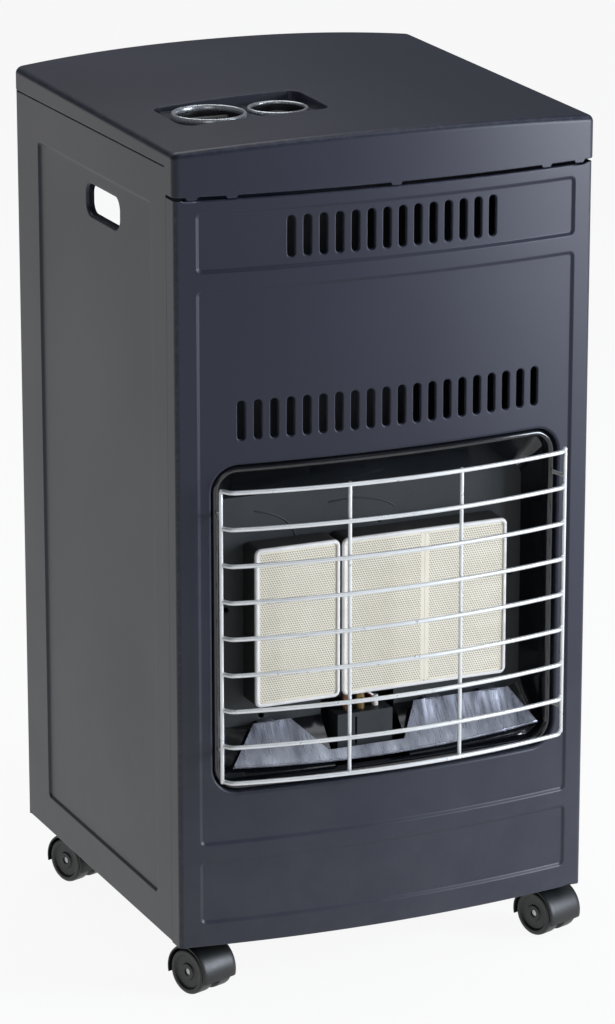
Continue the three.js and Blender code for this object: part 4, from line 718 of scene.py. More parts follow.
def front_panel():
    """Bowed front with its sunk fields, vent slots and window, folded in at the foot and the top."""
    top = FRONT_TOP - FOLD + FOLD * math.pi / 2 + TOP_LIP
    low = FOLD - FOLD * math.pi / 2 - FOOT_LIP
    tab = corner_start - 6
    edge = [(-front_reach, 0), (-tab, 0), (-tab, low), (tab, low), (tab, 0), (front_reach, 0),
            (front_reach, FRONT_TOP), (tab, FRONT_TOP), (tab, top), (-tab, top),
            (-tab, FRONT_TOP), (-front_reach, FRONT_TOP)]
    plan_marks = arc_marks(corner_start, CORNER, (0, 13, 27, 40, 54, 67, 80))
    lines = [upright_line(s * u, 0, FRONT_TOP) for u in plan_marks for s in (-1, 1)]
    lines += fold_lines(-tab, tab, FRONT_TOP)
    fields = [((-FIELD_HALF, FIELD_HALF, a, b), FIELD_RADIUS, FIELD_SINK, FIELD_SLOPE) for a, b in FIELDS]
    inset = WINDOW_ROLL
    window = (WINDOW[0] + inset, WINDOW[1] - inset, WINDOW[2] + inset, WINDOW[3] - inset)
    holes = slot_holes(SLOT_ROWS, SLOT_WIDTH, SLOT_ROLL, SLOT_LIP)
    holes.append(Hole(window, WINDOW_RADIUS - inset, inset, WINDOW_LIP - SHEET, 14))
    return pressed(folded(front_plan, 0, FRONT_TOP, FOLD, tab=tab), edge, SHEET, fields, holes, lines)


show_sheet("front_panel_sheet", front_panel(), "cabinet", ["front_panel"], "body_paint")

# ---------------- side panels

SIDE_FRONT = RETURN + SEAT
SIDE_FIELD = (52.0, 328.0, 34.0, 672.0)
HANDLE = (133.0, 210.0, 629.0, 656.0)
HANDLE_RADIUS = 10.0
HANDLE_ROLL = 3.0
HANDLE_LIP = 6.0
REAR_LIP = 18.0
SIDE_LIP = 10.0
HOOK_HEIGHTS = (90, 455)
HOOK_SLOT = (184.0, 194.0)  # from the middle of the cabinet
HOOK_SLOT_HEIGHT = 15.0


def side_panel(side):
    """Side panel from behind the front panel to a lip that turns in across the rear."""

    def plan(u):
        turn = np.clip((u - (DEPTH - FOLD)) / FOLD, 0, np.pi / 2)
        flat = np.maximum(u - (DEPTH - FOLD) - FOLD * np.pi / 2, 0)
        x = HALF - FOLD + FOLD * np.cos(turn) - flat
        y = np.where(u < DEPTH - FOLD, u, DEPTH - FOLD + FOLD * np.sin(turn))
        base = np.column_stack([side * x, y])
        inward = np.column_stack([-side * np.cos(turn), -np.sin(turn)])
        return base, inward, np.sin(2 * turn) ** 2

    rear = DEPTH - FOLD + FOLD * math.pi / 2 + REAR_LIP - FOLD
    fold_end = FOLD * math.pi / 2 + SIDE_LIP - FOLD
    low, high = FOLD - fold_end, SIDE_TOP - FOLD + fold_end
    tab = DEPTH - 4
    edge = [(SIDE_FRONT, low), (tab, low), (tab, 0), (rear, 0), (rear, SIDE_TOP), (tab, SIDE_TOP),
            (tab, high), (SIDE_FRONT, high)]
    lines = [upright_line(u, 0, SIDE_TOP) for u in arc_marks(DEPTH - FOLD, FOLD)]
    lines += fold_lines(SIDE_FRONT, tab, SIDE_TOP)
    lip_start = DEPTH - FOLD + FOLD * math.pi / 2 + HALF - FOLD
    near, far = lip_start - HOOK_SLOT[1], lip_start - HOOK_SLOT[0]
    slots = [Hole((near, far, z - 0.3, z + HOOK_SLOT_HEIGHT), 0.4, 0.2, 0.2, 2) for z in HOOK_HEIGHTS]
    handle = Hole(HANDLE, HANDLE_RADIUS, HANDLE_ROLL, HANDLE_LIP, 10)
    fields = [(SIDE_FIELD, FIELD_RADIUS, FIELD_SINK, FIELD_SLOPE)]
    place = folded(plan, 0, SIDE_TOP, FOLD, tab=tab)
    return pressed(place, edge, SHEET, fields, [handle, *slots], lines, (16, 18), 20)


for name, side in (("left", -1), ("right", 1)):
    node = "side_panel_" + name
    show_sheet(node + "_sheet", side_panel(side), "cabinet", [node], "body_paint")

# ---------------- lid

LID_REAR = box_of("lid")[1][1]
LID_OVERHANG = 1.2
LID_HALF = HALF + LID_OVERHANG
LID_FRONT = -LID_OVERHANG
FASCIA_LOW = 685.0
LID_EDGE = 723.5
LID_REAR_RISE = 7.0
LID_CROWN = (8.0, 11.5)  # at the front and at the rear
LID_ROUND = 6.0
LID_CORNER = 7.5
LID_SHEET = 1.6
HEM_GAP = 0.4
HEM_RADIUS = 1.0
BUMPS = (-185, -150, 0, 150, 185)
BUMP_HALF = 4.5
BUMP_DROP = 2.6
BUMP_SLOPE = 1.6
WELL = (-158.0, -19.0, 78.0, 154.0)
WELL_RADIUS = 10.0
WELL_EDGE = 1.0  # how far outside the well its wall starts
WELL_WALL = 3.2
WELL_FLOOR = box_of("dial_ring")[0][2] - SEAT
DIAL = (-119.0, 116.0, 30.0, 24.0)  # x, y, bore and depth of the cup
IGNITER = (-50.0, 123.0, 24.0, 17.0)
CUP_WALL = 1.4


def lid_height(x, y):
    """Height of the crowned top, which rises to the rear and falls off to the sides."""
    back = np.clip(y / DEPTH, 0, 1)
    crown = LID_CROWN[0] + (LID_CROWN[1] - LID_CROWN[0]) * back
    return LID_EDGE + LID_REAR_RISE * back + crown * (1 - np.abs(x / LID_HALF) ** 2.2)


def lid_outline():
    """Points round the lid and their outward directions, starting at the front left."""
    points, outward = [], []
    corner = LID_CORNER
    reach = LID_HALF - corner
    turn = math.atan2(2 * BOW * reach / HALF**2, 1)
    end = reach + corner * math.sin(turn)
    marks = set(np.round(np.linspace(-end, end, 60), 3))
    for x in BUMPS:
        marks |= {round(x + s, 3) for s in (-6, -5.2, -4.4, -3.6, -2, 0, 2, 3.6, 4.4, 5.2, 6)}
    for x in sorted(m for m in marks if abs(m) <= end):
        y = float(bow_at(x)) + LID_FRONT
        slope = 2 * BOW * x / HALF**2
        size = math.hypot(slope, 1)
        points.append((x, y))
        outward.append((slope / size, -1 / size))
    middle = float(bow_at(end)) + LID_FRONT + corner * math.cos(turn)

    def arc(cx, cy, start, stop):
        for s in range(1, 9):
            angle = math.radians(start + (stop - start) * s / 9)
            outward.append((math.cos(angle), math.sin(angle)))
            points.append((cx + corner * math.cos(angle), cy + corner * math.sin(angle)))

    arc(reach, middle, -90 + math.degrees(turn), 0)
    side = [*np.linspace(middle, RETURN - 0.02, 4), RETURN + 0.3, *np.linspace(40, LID_REAR - corner, 22)]
    for y in side:
        points.append((LID_HALF, y))
        outward.append((1, 0))
    arc(reach, LID_REAR - corner, 0, 90)
    for x in np.linspace(reach, -reach, 30):
        points.append((x, LID_REAR))
        outward.append((0, 1))
    arc(-reach, LID_REAR - corner, 90, 180)
    for y in reversed(side):
        points.append((-LID_HALF, y))
        outward.append((-1, 0))
    arc(-reach, middle, 180, 270 - math.degrees(turn))
    return np.array(points), np.array(outward)


def lid():
    """Pressed lid: rings from the hem up round the edge, then the crowned top with its well. The
    fascia ends in a step at RETURN, where the lid's edge goes on above the side panels."""
    base, outward = lid_outline()
    count = len(base)
    around = np.column_stack([outward, np.zeros(count)])
    low = np.where(base[:, 1] > RETURN + 0.1, SIDE_TOP + HEM_GAP, FASCIA_LOW)
    front = base[:, 1] < 5
    for x in BUMPS:
        share = smooth((BUMP_HALF + 1 - np.abs(base[:, 0] - x)) / BUMP_SLOPE)
        low = np.where(front, low - BUMP_DROP * share, low)
    points, normals, wear, faces = [], [], [], []

    def ring(pull, height, normal, worn):
        points.extend(np.column_stack([base - outward * pull, height]))
        normals.extend(normal)
        wear.extend([worn] * count)

    for t in (0, 40, 90):
        a = math.radians(t)
        ring(HEM_RADIUS * (1 - math.sin(a)), low + HEM_RADIUS * (1 - math.cos(a)),
             around * math.sin(a) - np.array([0, 0, math.cos(a)]), 0.5)
    ring(0, low + 1.8 * HEM_RADIUS, around, 0.0)
    for t in np.linspace(0, 90, 9):
        a = math.radians(t)
        pull = LID_ROUND * (1 - math.cos(a))
        inner = base - outward * pull
        height = lid_height(inner[:, 0], inner[:, 1]) - LID_ROUND * (1 - math.sin(a))
        if t == 0:
            ring(0, np.maximum(height - 3, low + 2), around, 0.0)
        if t < 90:
            ring(pull, height, around * math.cos(a) + np.array([0, 0, math.sin(a)]), math.sin(2 * a) ** 2)
    last = len(points) - count
    for k in range(0, last, count):
        for i in range(count):
            j = (i + 1) % count
            faces.append((k + i, k + j, k + count + j, k + count + i))
    edge = base - outward * LID_ROUND

    def sunk(x, y):
        share = smooth((WELL_EDGE - distance(x, y, WELL, WELL_RADIUS)) / WELL_WALL)
        top = lid_height(x, y)
        return top - (top - WELL_FLOOR) * share

    turns = np.linspace(0, 2 * np.pi, 48, endpoint=False)
    clear = CUP_WALL + SEAT
    holes = [[(x + (bore + clear) * math.cos(t), y + (bore + clear) * math.sin(t)) for t in turns]
             for x, y, bore, _ in (DIAL, IGNITER)]
    guides = [outline(WELL, WELL_RADIUS, WELL_EDGE - WELL_WALL * t, 10, 8) for t in np.linspace(0, 1, 9)]
    gx, gy = np.meshgrid(np.arange(-192, 193, 8), np.arange(-14, 380, 8))
    dots = np.stack([gx.ravel(), gy.ravel()], 1)
    dots = dots[within(edge, dots)]
    for x, y, bore, _ in (DIAL, IGNITER):
        dots = dots[np.hypot(dots[:, 0] - x, dots[:, 1] - y) > bore + 3]
    flat, tris, rim = triangles(edge, holes, guides, (), dots)
    start = len(points)
    x, y = flat[:, 0], flat[:, 1]
    h = 0.03
    slope_x = (sunk(x + h, y) - sunk(x - h, y)) / (2 * h)
    slope_y = (sunk(x, y + h) - sunk(x, y - h)) / (2 * h)
    top_normals = np.column_stack([-slope_x, -slope_y, np.ones(len(x))])
    top_normals /= np.linalg.norm(top_normals, axis=1)[:, None]
    points.extend(np.column_stack([flat, sunk(x, y)]))
    normals.extend(top_normals)
    wall = np.abs(distance(x, y, WELL, WELL_RADIUS) - 0.8)
    wear.extend(np.clip(1 - wall, 0, 1))
    faces += [tuple(int(i) + start for i in tri) for tri in tris]
    for i in range(count):
        j = (i + 1) % count
        faces.append((last + i, last + j, start + rim[j], start + rim[i]))
    points, normals = np.array(points), np.array(normals)
    normals /= np.linalg.norm(normals, axis=1)[:, None]
    inner = points - normals * LID_SHEET
    inner[start:] = points[start:] - np.array([0, 0, LID_SHEET])
    inner[:count] = points[:count] + np.column_stack([-outward * LID_SHEET * 0.8, np.full(count, 0.4)])
    return doubled(points, inner, faces, normals, np.array(wear))


show_sheet("lid_pressing", lid(), "cabinet", ["lid"], "body_paint")

# ---------------- rear cover

COVER_LOW, COVER_HIGH = box_of("rear_cover")
COVER_FACE = DEPTH + SEAT
COVER_HALF = COVER_HIGH[0]
COVER_LIP = 8.0
COVER_FOLD = 1.2
COVER_NOTCH = (22.0, 3.0)  # width and height of the corners beside the folded lip
COVER_FIELD = (40.0, 26.0)  # from the sides, and from the foot and the top
COVER_ROWS = [(7, 32, 50, 92), (7, 32, 440, 482)]  # count, pitch, lower and upper end
COVER_SLOT = 8.0
HOOK_PLACE = 189.0
HOOK_WIDTH = 8.0
HOOK_THICK = 2.0
HOOK_DROP = 8.0


def block(low, high, bevel=0.4):
    """A bar with eased edges between two corners."""
    low, high = np.minimum(low, high), np.maximum(low, high)
    rings = []
    for inset, z in ((bevel, low[2]), (0, low[2] + bevel), (0, high[2] - bevel), (bevel, high[2])):
        x0, x1, y0, y1 = low[0] + inset, high[0] - inset, low[1] + inset, high[1] - inset
        c = bevel
        rings.append([(x0 + c, y0, z), (x1 - c, y0, z), (x1, y0 + c, z), (x1, y1 - c, z),
                      (x1 - c, y1, z), (x0 + c, y1, z), (x0, y1 - c, z), (x0, y0 + c, z)])
    return tube_between(rings)


def rear_cover():
    """Lift-off cover with a raised field, vent slots and a lip folded outwards along its top."""

    def plan(u):
        base = np.column_stack([-u, np.full(len(u), COVER_FACE + SHEET)])
        return base, np.column_stack([np.zeros(len(u)), np.full(len(u), -1.0)]), np.zeros(len(u))

    low, high = COVER_LOW[2], COVER_HIGH[2]
    top = high - SHEET - COVER_FOLD + COVER_FOLD * math.pi / 2 + COVER_LIP - SHEET - COVER_FOLD
    shift = high - SHEET
    inner, shoulder = COVER_HALF - COVER_NOTCH[0], high - COVER_NOTCH[1]
    edge = [(-COVER_HALF, low), (COVER_HALF, low), (COVER_HALF, shoulder), (inner, shoulder),
            (inner, top), (-inner, top), (-inner, shoulder), (-COVER_HALF, shoulder)]
    lines = [level_line(-inner, inner, shift - COVER_FOLD + m) for m in arc_marks(0, COVER_FOLD)]
    side, end = COVER_FIELD
    field = ((-COVER_HALF + side, COVER_HALF - side, low + end, high - end), 6.0, -2.0, 5.0)
    holes = slot_holes(COVER_ROWS, COVER_SLOT, 1.2, 1.4)
    place = folded(plan, -200, shift, COVER_FOLD, -1)
    return pressed(place, edge, SHEET, [field], holes, lines, (16, 18), 16)


show_sheet("rear_cover_sheet", rear_cover(), "cover", ["rear_cover"], "body_paint")

hooks = []
hook_front = DEPTH - SHEET - 1 - HOOK_THICK
for side in (-1, 1):
    for z in HOOK_HEIGHTS:
        x0, x1 = side * HOOK_PLACE - HOOK_WIDTH / 2, side * HOOK_PLACE + HOOK_WIDTH / 2
        hooks.append(block((x0, hook_front, z), (x1, COVER_FACE + 0.4, z + HOOK_THICK)))
        hooks.append(block((x0, hook_front, z - HOOK_DROP), (x1, hook_front + HOOK_THICK, z + 0.4)))
show("rear_cover_hooks", hooks, "cover", ["rear_cover"], "body_paint")

# ---------------- control well

RING_WIDTH = 3.6
DIAL_PORT = 6.0  # radius of the hole in the floor of the cup
IGNITER_PORT = 6.3
TRAY_PLATE = 1.6


def cup(spec, port):
    """Round cup under the well, with a port in its floor."""
    x, y, bore, depth = spec
    floor = WELL_FLOOR - depth
    outer = bore + CUP_WALL
    profile = round_profile([
        (port, floor, 0.3), (bore, floor, 3), (bore, WELL_FLOOR, 0.6), (outer, WELL_FLOOR, 0.6),
        (outer, floor - CUP_WALL, 2), (port, floor - CUP_WALL, 0.3),
    ])
    return lathe(profile, (x, y, 0))


def trim_ring(spec, node):
    """Flat ring with rounded upper edges round a cup's mouth."""
    x, y, bore, _ = spec
    low, high = box_of(node)[0][2], box_of(node)[1][2]
    middle = low + (high - low) * 0.5
    inner, outer = bore, bore + RING_WIDTH
    profile = round_profile([
        (inner, low, 0.3), (outer, low, 0.3), (outer, middle, 1.0),
        (outer - 0.9, high, 1.2), (inner + 0.9, high, 1.2), (inner, middle, 1.0),
    ])
    return lathe(profile, (x, y, 0), sides=96)


def tray_plate():
    """The tray's plate under the well's floor, round both cups."""
    top = WELL_FLOOR - LID_SHEET - SEAT
    holes = [
        Hole((x - bore, x + bore, y - bore, y + bore), bore - 1e-3, 0.2, 0.2, 12)
        for x, y, bore, _ in (DIAL, IGNITER)
    ]

    def place(u, v, depth):
        return np.column_stack([u, v, np.full(len(u), top) - depth]), np.zeros(len(u))

    return pressed(place, outline(WELL, WELL_RADIUS, 0, 6, 20), TRAY_PLATE, [], holes, (), (14, 14), 14)


cups = [cup(DIAL, DIAL_PORT), cup(IGNITER, IGNITER_PORT)]
show("control_cups", cups, "cabinet", ["control_tray"], "black_plastic")
show_sheet("control_plate", tray_plate(), "cabinet", ["control_tray"], "black_plastic")
for node, spec in (("dial_ring", DIAL), ("igniter_ring", IGNITER)):
    show(node + "_trim", [trim_ring(spec, node)], "cabinet", [node], "bright_chrome", 60)


def stadium_bar(centre, length, width, low, high, draft, steps=12):
    """A grip bar with round ends, slightly tapered and crowned."""
    rings = []
    rise = high - low
    for z, inset in ((0, 0), (0.7 * rise, draft), (0.9 * rise, draft + 0.5), (rise, draft + 1.6)):
        r = width / 2 - inset
        ring = []
        for side in (1, -1):
            for s in range(steps + 1):
                a = math.radians(-90 + 180 * s / steps)
                ring.append((centre[0] + side * ((length / 2 - width / 2) + r * math.cos(a)),
                             centre[1] + side * r * math.sin(a), low + z))
        rings.append(ring)
    return tube_between(rings)


KNOB_BORE = 4.4
KNOB_SKIRT = 9.0
KNOB_RIBS = 36
KNOB_BAR = (40, 9)  # length and width of the grip bar
BUTTON_RADIUS = 12.0
STEM_RADIUS = 4.0

knob_low, knob_high = box_of("gas_knob")
skirt_top = knob_low[2] + KNOB_SKIRT
KNOB_RADIUS = (knob_high[0] - knob_low[0]) / 2
knob = [lathe(round_profile([
    (KNOB_BORE, knob_low[2], 0.2), (KNOB_RADIUS, knob_low[2], 0.8), (KNOB_RADIUS - 0.4, skirt_top, 2.2),
    (KNOB_BORE, skirt_top, 0.2),
]), (DIAL[0], DIAL[1], 0), sides=72)]
for step in range(KNOB_RIBS):
    angle = 2 * math.pi * step / KNOB_RIBS
    reach = KNOB_RADIUS - 0.55
    at = (DIAL[0] + reach * math.cos(angle), DIAL[1] + reach * math.sin(angle))
    knob.append(wire([(*at, knob_low[2] + 1.2), (*at, skirt_top - 2.2)], 0.5, 6))
knob.append(stadium_bar(DIAL, *KNOB_BAR, skirt_top - 1, knob_high[2], 0.8))
show("gas_knob_moulding", knob, "knob", ["gas_knob"], "black_plastic", 50)
pointer = block((DIAL[0] + 7, DIAL[1] - 0.5, knob_high[2] - 0.6),
                (DIAL[0] + 17.2, DIAL[1] + 0.5, knob_high[2] - 0.02), 0.15)
show("gas_knob_pointer", [pointer], "knob", ["gas_knob"], "white_ceramic")

button_low, button_high = (corner[2] for corner in box_of("igniter_button"))
base = button_high - 8
button_at = (IGNITER[0], IGNITER[1], 0)
crown = [(10.6, 6.1), (8.6, 6.2), (6, 6.6), (3, 7.2), (0, 7.6)]
button = lathe([
    (0, base), (8, base), (BUTTON_RADIUS - 0.4, base), (BUTTON_RADIUS, base + 0.5),
    (BUTTON_RADIUS, base + 4.4), (BUTTON_RADIUS - 0.4, base + 5.4), *((r, base + z) for r, z in crown),
], button_at)
stem = lathe([
    (0, button_low), (STEM_RADIUS - 0.4, button_low), (STEM_RADIUS, button_low + 0.4),
    (STEM_RADIUS, base + 1), (0, base + 1),
], button_at, sides=32)
show("igniter_button_moulding", [button, stem], "igniter", ["igniter_button"], "black_plastic", 50)

# ---------------- firebox

BEZEL_WIDTH = 12.0
BEZEL_DEPTH = 14.0
CHASSIS_LOW, CHASSIS_HIGH = box_of("burner_chassis")
CHASSIS_Y = CHASSIS_LOW[1]
THROAT = (-150.0, 150.0, 190.0, 403.0)
THROAT_RADIUS = 12.0
PILOT_GATE = (-48.0, 24.0, 204.0)  # left, right and top of the notch for the pilot box


def window_ring(inset, depth):
    """Points round the window at an inset, on the bowed front at a depth."""
    return [(x, float(bow_at(x)) + FIELD_SINK + depth, z)
            for x, z in outline(WINDOW, WINDOW_RADIUS, -inset, 12, cuts=24)]


def bezel():
    """Glossy rim inside the window: a crowned front and a folded back, as (inset, depth) points."""
    behind = WINDOW_LIP + SEAT
    front = [(3.3, behind), (3.7, 6.2), (4.7, 4.1), (6.1, 2.9), (7.6, 2.5), (9.1, 3.2), (10.3, 5.0),
             (11.2, 7.8), (11.7, 10.8), (BEZEL_WIDTH, BEZEL_DEPTH)]
    back = [(BEZEL_WIDTH - SHEET, BEZEL_DEPTH), (10.3, 10.5), (9.2, 6.6), (7.6, 4.4), (5.8, 5.4),
            (4.9, behind + SHEET), (-3, behind + SHEET), (-3, behind)]
    return hoop([window_ring(inset, depth) for inset, depth in front + back])


show("window_bezel_rim", [bezel()], "cabinet", ["window_bezel"], "black_enamel", 50)


def surround():
    """Funnel from the bezel to the burners, open at the bottom where the pilot stands."""
    rows = 10

    def layer(extra):
        front = np.array(window_ring(BEZEL_WIDTH - extra, BEZEL_DEPTH + SEAT))
        rear = np.array([(x, CHASSIS_Y - SEAT, z)
                         for x, z in outline(THROAT, THROAT_RADIUS, extra, 12, cuts=24)])
        return [front + (rear - front) * t for t in np.linspace(0, 1, rows)]

    inner, outer = layer(0), layer(SHEET)
    count = len(inner[0])
    left, right, top = PILOT_GATE
    gate = [i for i, (x, _, z) in enumerate(inner[-1]) if z < top and left - 4 < x < right + 4]
    start = max(gate) + 1
    order = [(start + i) % count for i in range(count) if (start + i) % count not in gate]
    for ring in inner + outer:
        ring[order[0]][0] = right + 0.5
        ring[order[-1]][0] = left - 0.5
    around = [*inner, *reversed(outer)]
    return tube_between([[ring[i] for ring in around] for i in order])


show("firebox_surround_funnel", [surround()], "cabinet", ["firebox_surround"], "black_enamel", 35)

BURNERS = [("left", -123.5, -41.0), ("right", -39.0, 123.5)]
BURNER_Z = (214.0, 361.0)
BURNER_FRONT = box_of("burner_frame_left")[0][1]
BURNER_LIP = 3.6
BURNER_RADIUS = 6.0


def burner_frame(x0, x1):
    """Frame round the plaques, whose section turns in over their front edges."""
    rear = CHASSIS_Y - SEAT
    front = BURNER_FRONT
    section = [(0, rear), (0, front + 2.2), (0.25, front + 1.1), (0.8, front + 0.35), (1.7, front),
               (BURNER_LIP - 0.5, front), (BURNER_LIP, front + 0.45), (BURNER_LIP - 0.1, front + 0.95),
               (2.0, front + 1.0), (1.1, front + 1.7), (1.0, front + 2.6), (1.0, rear)]
    box = (x0, x1, *BURNER_Z)
    return hoop([
        [(x, y, z) for x, z in outline(box, BURNER_RADIUS, -inset, 8, cuts=8)] for inset, y in section
    ])


for name, x0, x1 in BURNERS:
    node = "burner_frame_" + name
    show(node + "_rim", [burner_frame(x0, x1)], "cabinet", [node], "burner_sheet", 50)

PLAQUE_MARGIN = 4.2
PLAQUE_RADIUS = 4.0
PLAQUE_EASE = 0.5


def plaque(node):
    """One ceramic plaque: eased edges, and a plain margin round its perforated field."""
    low, high = box_of(node)
    box = (low[0], high[0], low[2], high[2])

    def place(u, v, depth):
        out = distance(u, v, box, PLAQUE_RADIUS)
        ease = PLAQUE_EASE * smooth(1 + out / 1.2)
        points = np.column_stack([u, np.full(len(u), low[1]) + depth + ease, v])
        return points, smooth((out + PLAQUE_MARGIN) / 0.8)

    thick = high[1] - low[1] - PLAQUE_EASE
    guides = [((low[0] + t, high[0] - t, low[2] + t, high[2] - t), 3.0, 0.0, 0.5)
              for t in (PLAQUE_MARGIN, PLAQUE_MARGIN - 0.8)]
    return pressed(place, outline(box, PLAQUE_RADIUS, 0, 6, 12), thick, guides, [], (), (8, 8), 8)


for node in ("ceramic_plaque_left", "ceramic_plaque_right_1", "ceramic_plaque_right_2"):
    piece = show_sheet(node + "_block", plaque(node), "cabinet", [node], "plaque_ceramic")
    piece.data.attributes["edge_wear"].name = "bare_margin"


SMALL_HOLES = [(8.6, 366, 2.6), (-106.6, 197, 2.4), (-140, 300, 2.4), (140, 300, 2.4)]  # x, z, radius


def chassis():
    """Dark back plate with small holes and an opening behind each burner."""
    half = CHASSIS_HIGH[0]
    low, high = CHASSIS_LOW[2], CHASSIS_HIGH[2]

    def place(u, v, depth):
        return np.column_stack([u, np.full(len(u), CHASSIS_Y) + depth, v]), np.zeros(len(u))

    left, right, top = PILOT_GATE
    edge = [(-half, low), (left, low), (left, top), (right, top), (right, low), (half, low), (half, high),
            (-half, high)]
    gates = [Hole((x0 + 1, x1 - 1, BURNER_Z[0] + 1, BURNER_Z[1] - 1), 5.0, 0.2, 0.2, 6)
             for _, x0, x1 in BURNERS]
    small = [Hole((x - r, x + r, z - r, z + r), r - 1e-3, 0.5, 0.6, 6) for x, z, r in SMALL_HOLES]
    return pressed(place, edge, SHEET, [], gates + small, (), (16, 16), 16)


show_sheet("burner_chassis_plate", chassis(), "cabinet", ["burner_chassis"], "inner_steel")
wings = [block((side * CHASSIS_HIGH[0], CHASSIS_Y + SHEET, CHASSIS_LOW[2]),
               (side * (CHASSIS_HIGH[0] - SHEET), CHASSIS_HIGH[1], CHASSIS_HIGH[2]), 0.3)
         for side in (-1, 1)]
show("burner_chassis_wings", wings, "cabinet", ["burner_chassis"], "inner_steel")

# Two arched beads on the back plate above the burners, as (x, z) points.
ARCHES = [
    [(-112, 388), (-96, 384), (-83, 377), (-75, 368), (-71.5, 357)],
    [(-40, 388), (-14, 389.5), (8.5, 385), (18, 381), (24, 377)],
]
arches = [wire(rounded([(x, CHASSIS_Y + SEAT, z) for x, z in line], 8), 0.9, 8) for line in ARCHES]
show("burner_chassis_arches", arches, "cabinet", ["burner_chassis"], "inner_steel")

# ---------------- reflector and pilot box

REFLECTOR_FRONT = -3.0
REFLECTOR_LOW = 155.4
REFLECTOR_RUN = 27.0
REFLECTOR_RISE = 38.0
REFLECTOR_HALF = 156.0
REFLECTOR_LEFT = -147.0
REFLECTOR_BOW = 9.0
REFLECTOR_SHEET = 0.8
REFLECTOR_DISH = 1.6
REFLECTOR_TABS = (-104, 60, 116)
TAB_HALF = 8
EDGE_ROLL = 0.9
reflector_slope = math.hypot(REFLECTOR_RUN, REFLECTOR_RISE)
reflector_run, reflector_rise = REFLECTOR_RUN / reflector_slope, REFLECTOR_RISE / reflector_slope


def reflector_front(x):
    """How far up its slope the sheet's bowed front edge lies."""
    return REFLECTOR_BOW * (x / REFLECTOR_HALF) ** 2


def reflector():
    """Bright sheet that rises to the burners, dished between its folded edge and its top."""
    run, rise = reflector_run, reflector_rise

    def place(u, v, depth):
        share = np.clip(v / reflector_slope, 0, 1)
        dish = REFLECTOR_DISH * np.sin(np.pi * share)
        y = REFLECTOR_FRONT + v * run + (dish + depth) * rise
        z = REFLECTOR_LOW + v * rise - (dish + depth) * run + REFLECTOR_SHEET * run
        return np.column_stack([u, y, z]), smooth(1 - share * 12)

    front = [(x, reflector_front(x) + 0.6) for x in np.linspace(REFLECTOR_LEFT, REFLECTOR_HALF, 41)]
    top = reflector_slope
    edge = [*front, (135, top), (40, top), (22, 13), (-52, 13), (-82, top), (-118, top)]
    return pressed(place, edge, REFLECTOR_SHEET, [], [], (), (8, 5), 8)


show_sheet("floor_reflector_sheet", reflector(), "cabinet", ["floor_reflector"], "reflector_sheet")
tab_top = REFLECTOR_LOW + REFLECTOR_RISE
tabs = [block((x - TAB_HALF, REFLECTOR_FRONT + REFLECTOR_RUN - 1, tab_top - REFLECTOR_SHEET),
              (x + TAB_HALF, CHASSIS_Y - SEAT, tab_top), 0.25) for x in REFLECTOR_TABS]
show("floor_reflector_tabs", tabs, "cabinet", ["floor_reflector"], "reflector_sheet")

rolled = []
for x in np.linspace(REFLECTOR_LEFT + 2, REFLECTOR_HALF - 2, 41):
    along = reflector_front(x) + 1.6
    rolled.append((x, REFLECTOR_FRONT + along * REFLECTOR_RUN / reflector_slope,
                   REFLECTOR_LOW + REFLECTOR_SHEET + along * REFLECTOR_RISE / reflector_slope))
show("floor_reflector_edge", [wire(rolled, EDGE_ROLL, 10)], "cabinet", ["floor_reflector"],
     "reflector_sheet")

# ---------------- wire guard

GUARD_HALF = 167.0
GUARD_END = 161.0
GUARD_LOW = 160.5
GUARD_HIGH = 427.0
GUARD_ROWS = 9
GUARD_FACE = -28.0
GUARD_BOW = 18.98
GUARD_POST_Y = -20.0
WIRE_RADIUS = 2.0
POST_RADIUS = 1.8
GUARD_POSTS = (-54.0, 54.0)
GUARD_FEET = (184, 402)
GUARD_FOOT_X = 163.5


def guard_y(x):
    return GUARD_FACE - GUARD_BOW * (1 - (x / GUARD_END) ** 2)


def guard():
    """Bowed level wires, upright wires welded behind and beside them, and four feet."""
    wires = []
    arc = [(x, guard_y(x)) for x in np.linspace(-GUARD_END, GUARD_END, 33)]
    reach = GUARD_HALF - 1.5
    flat = rounded([(-reach, GUARD_POST_Y), *arc, (reach, GUARD_POST_Y)], 5)
    for z in np.linspace(GUARD_LOW, GUARD_HIGH, GUARD_ROWS):
        wires.append(wire(np.column_stack([flat, np.full(len(flat), z)]), WIRE_RADIUS))
    heights = np.linspace(GUARD_LOW - 0.3, GUARD_HIGH + 0.3, 12)
    behind = WIRE_RADIUS + POST_RADIUS - 0.8
    for x in GUARD_POSTS:
        wires.append(wire([(x, guard_y(x) + behind, z) for z in heights], POST_RADIUS))
    foot_y = float(bow_at(GUARD_FOOT_X)) + FIELD_SINK + 0.4
    for side in (-1, 1):
        post, foot = (side * GUARD_HALF, GUARD_POST_Y), (side * GUARD_FOOT_X, foot_y)
        wires.append(wire([(*post, z) for z in heights], POST_RADIUS))
        for z in GUARD_FEET:
            wires.append(wire(np.linspace((*post, z), (*foot, z), 6), POST_RADIUS))
    return wires


show("wire_guard_mesh", guard(), "cabinet", ["wire_guard"], "guard_wire", 70)

# ---------------- casters

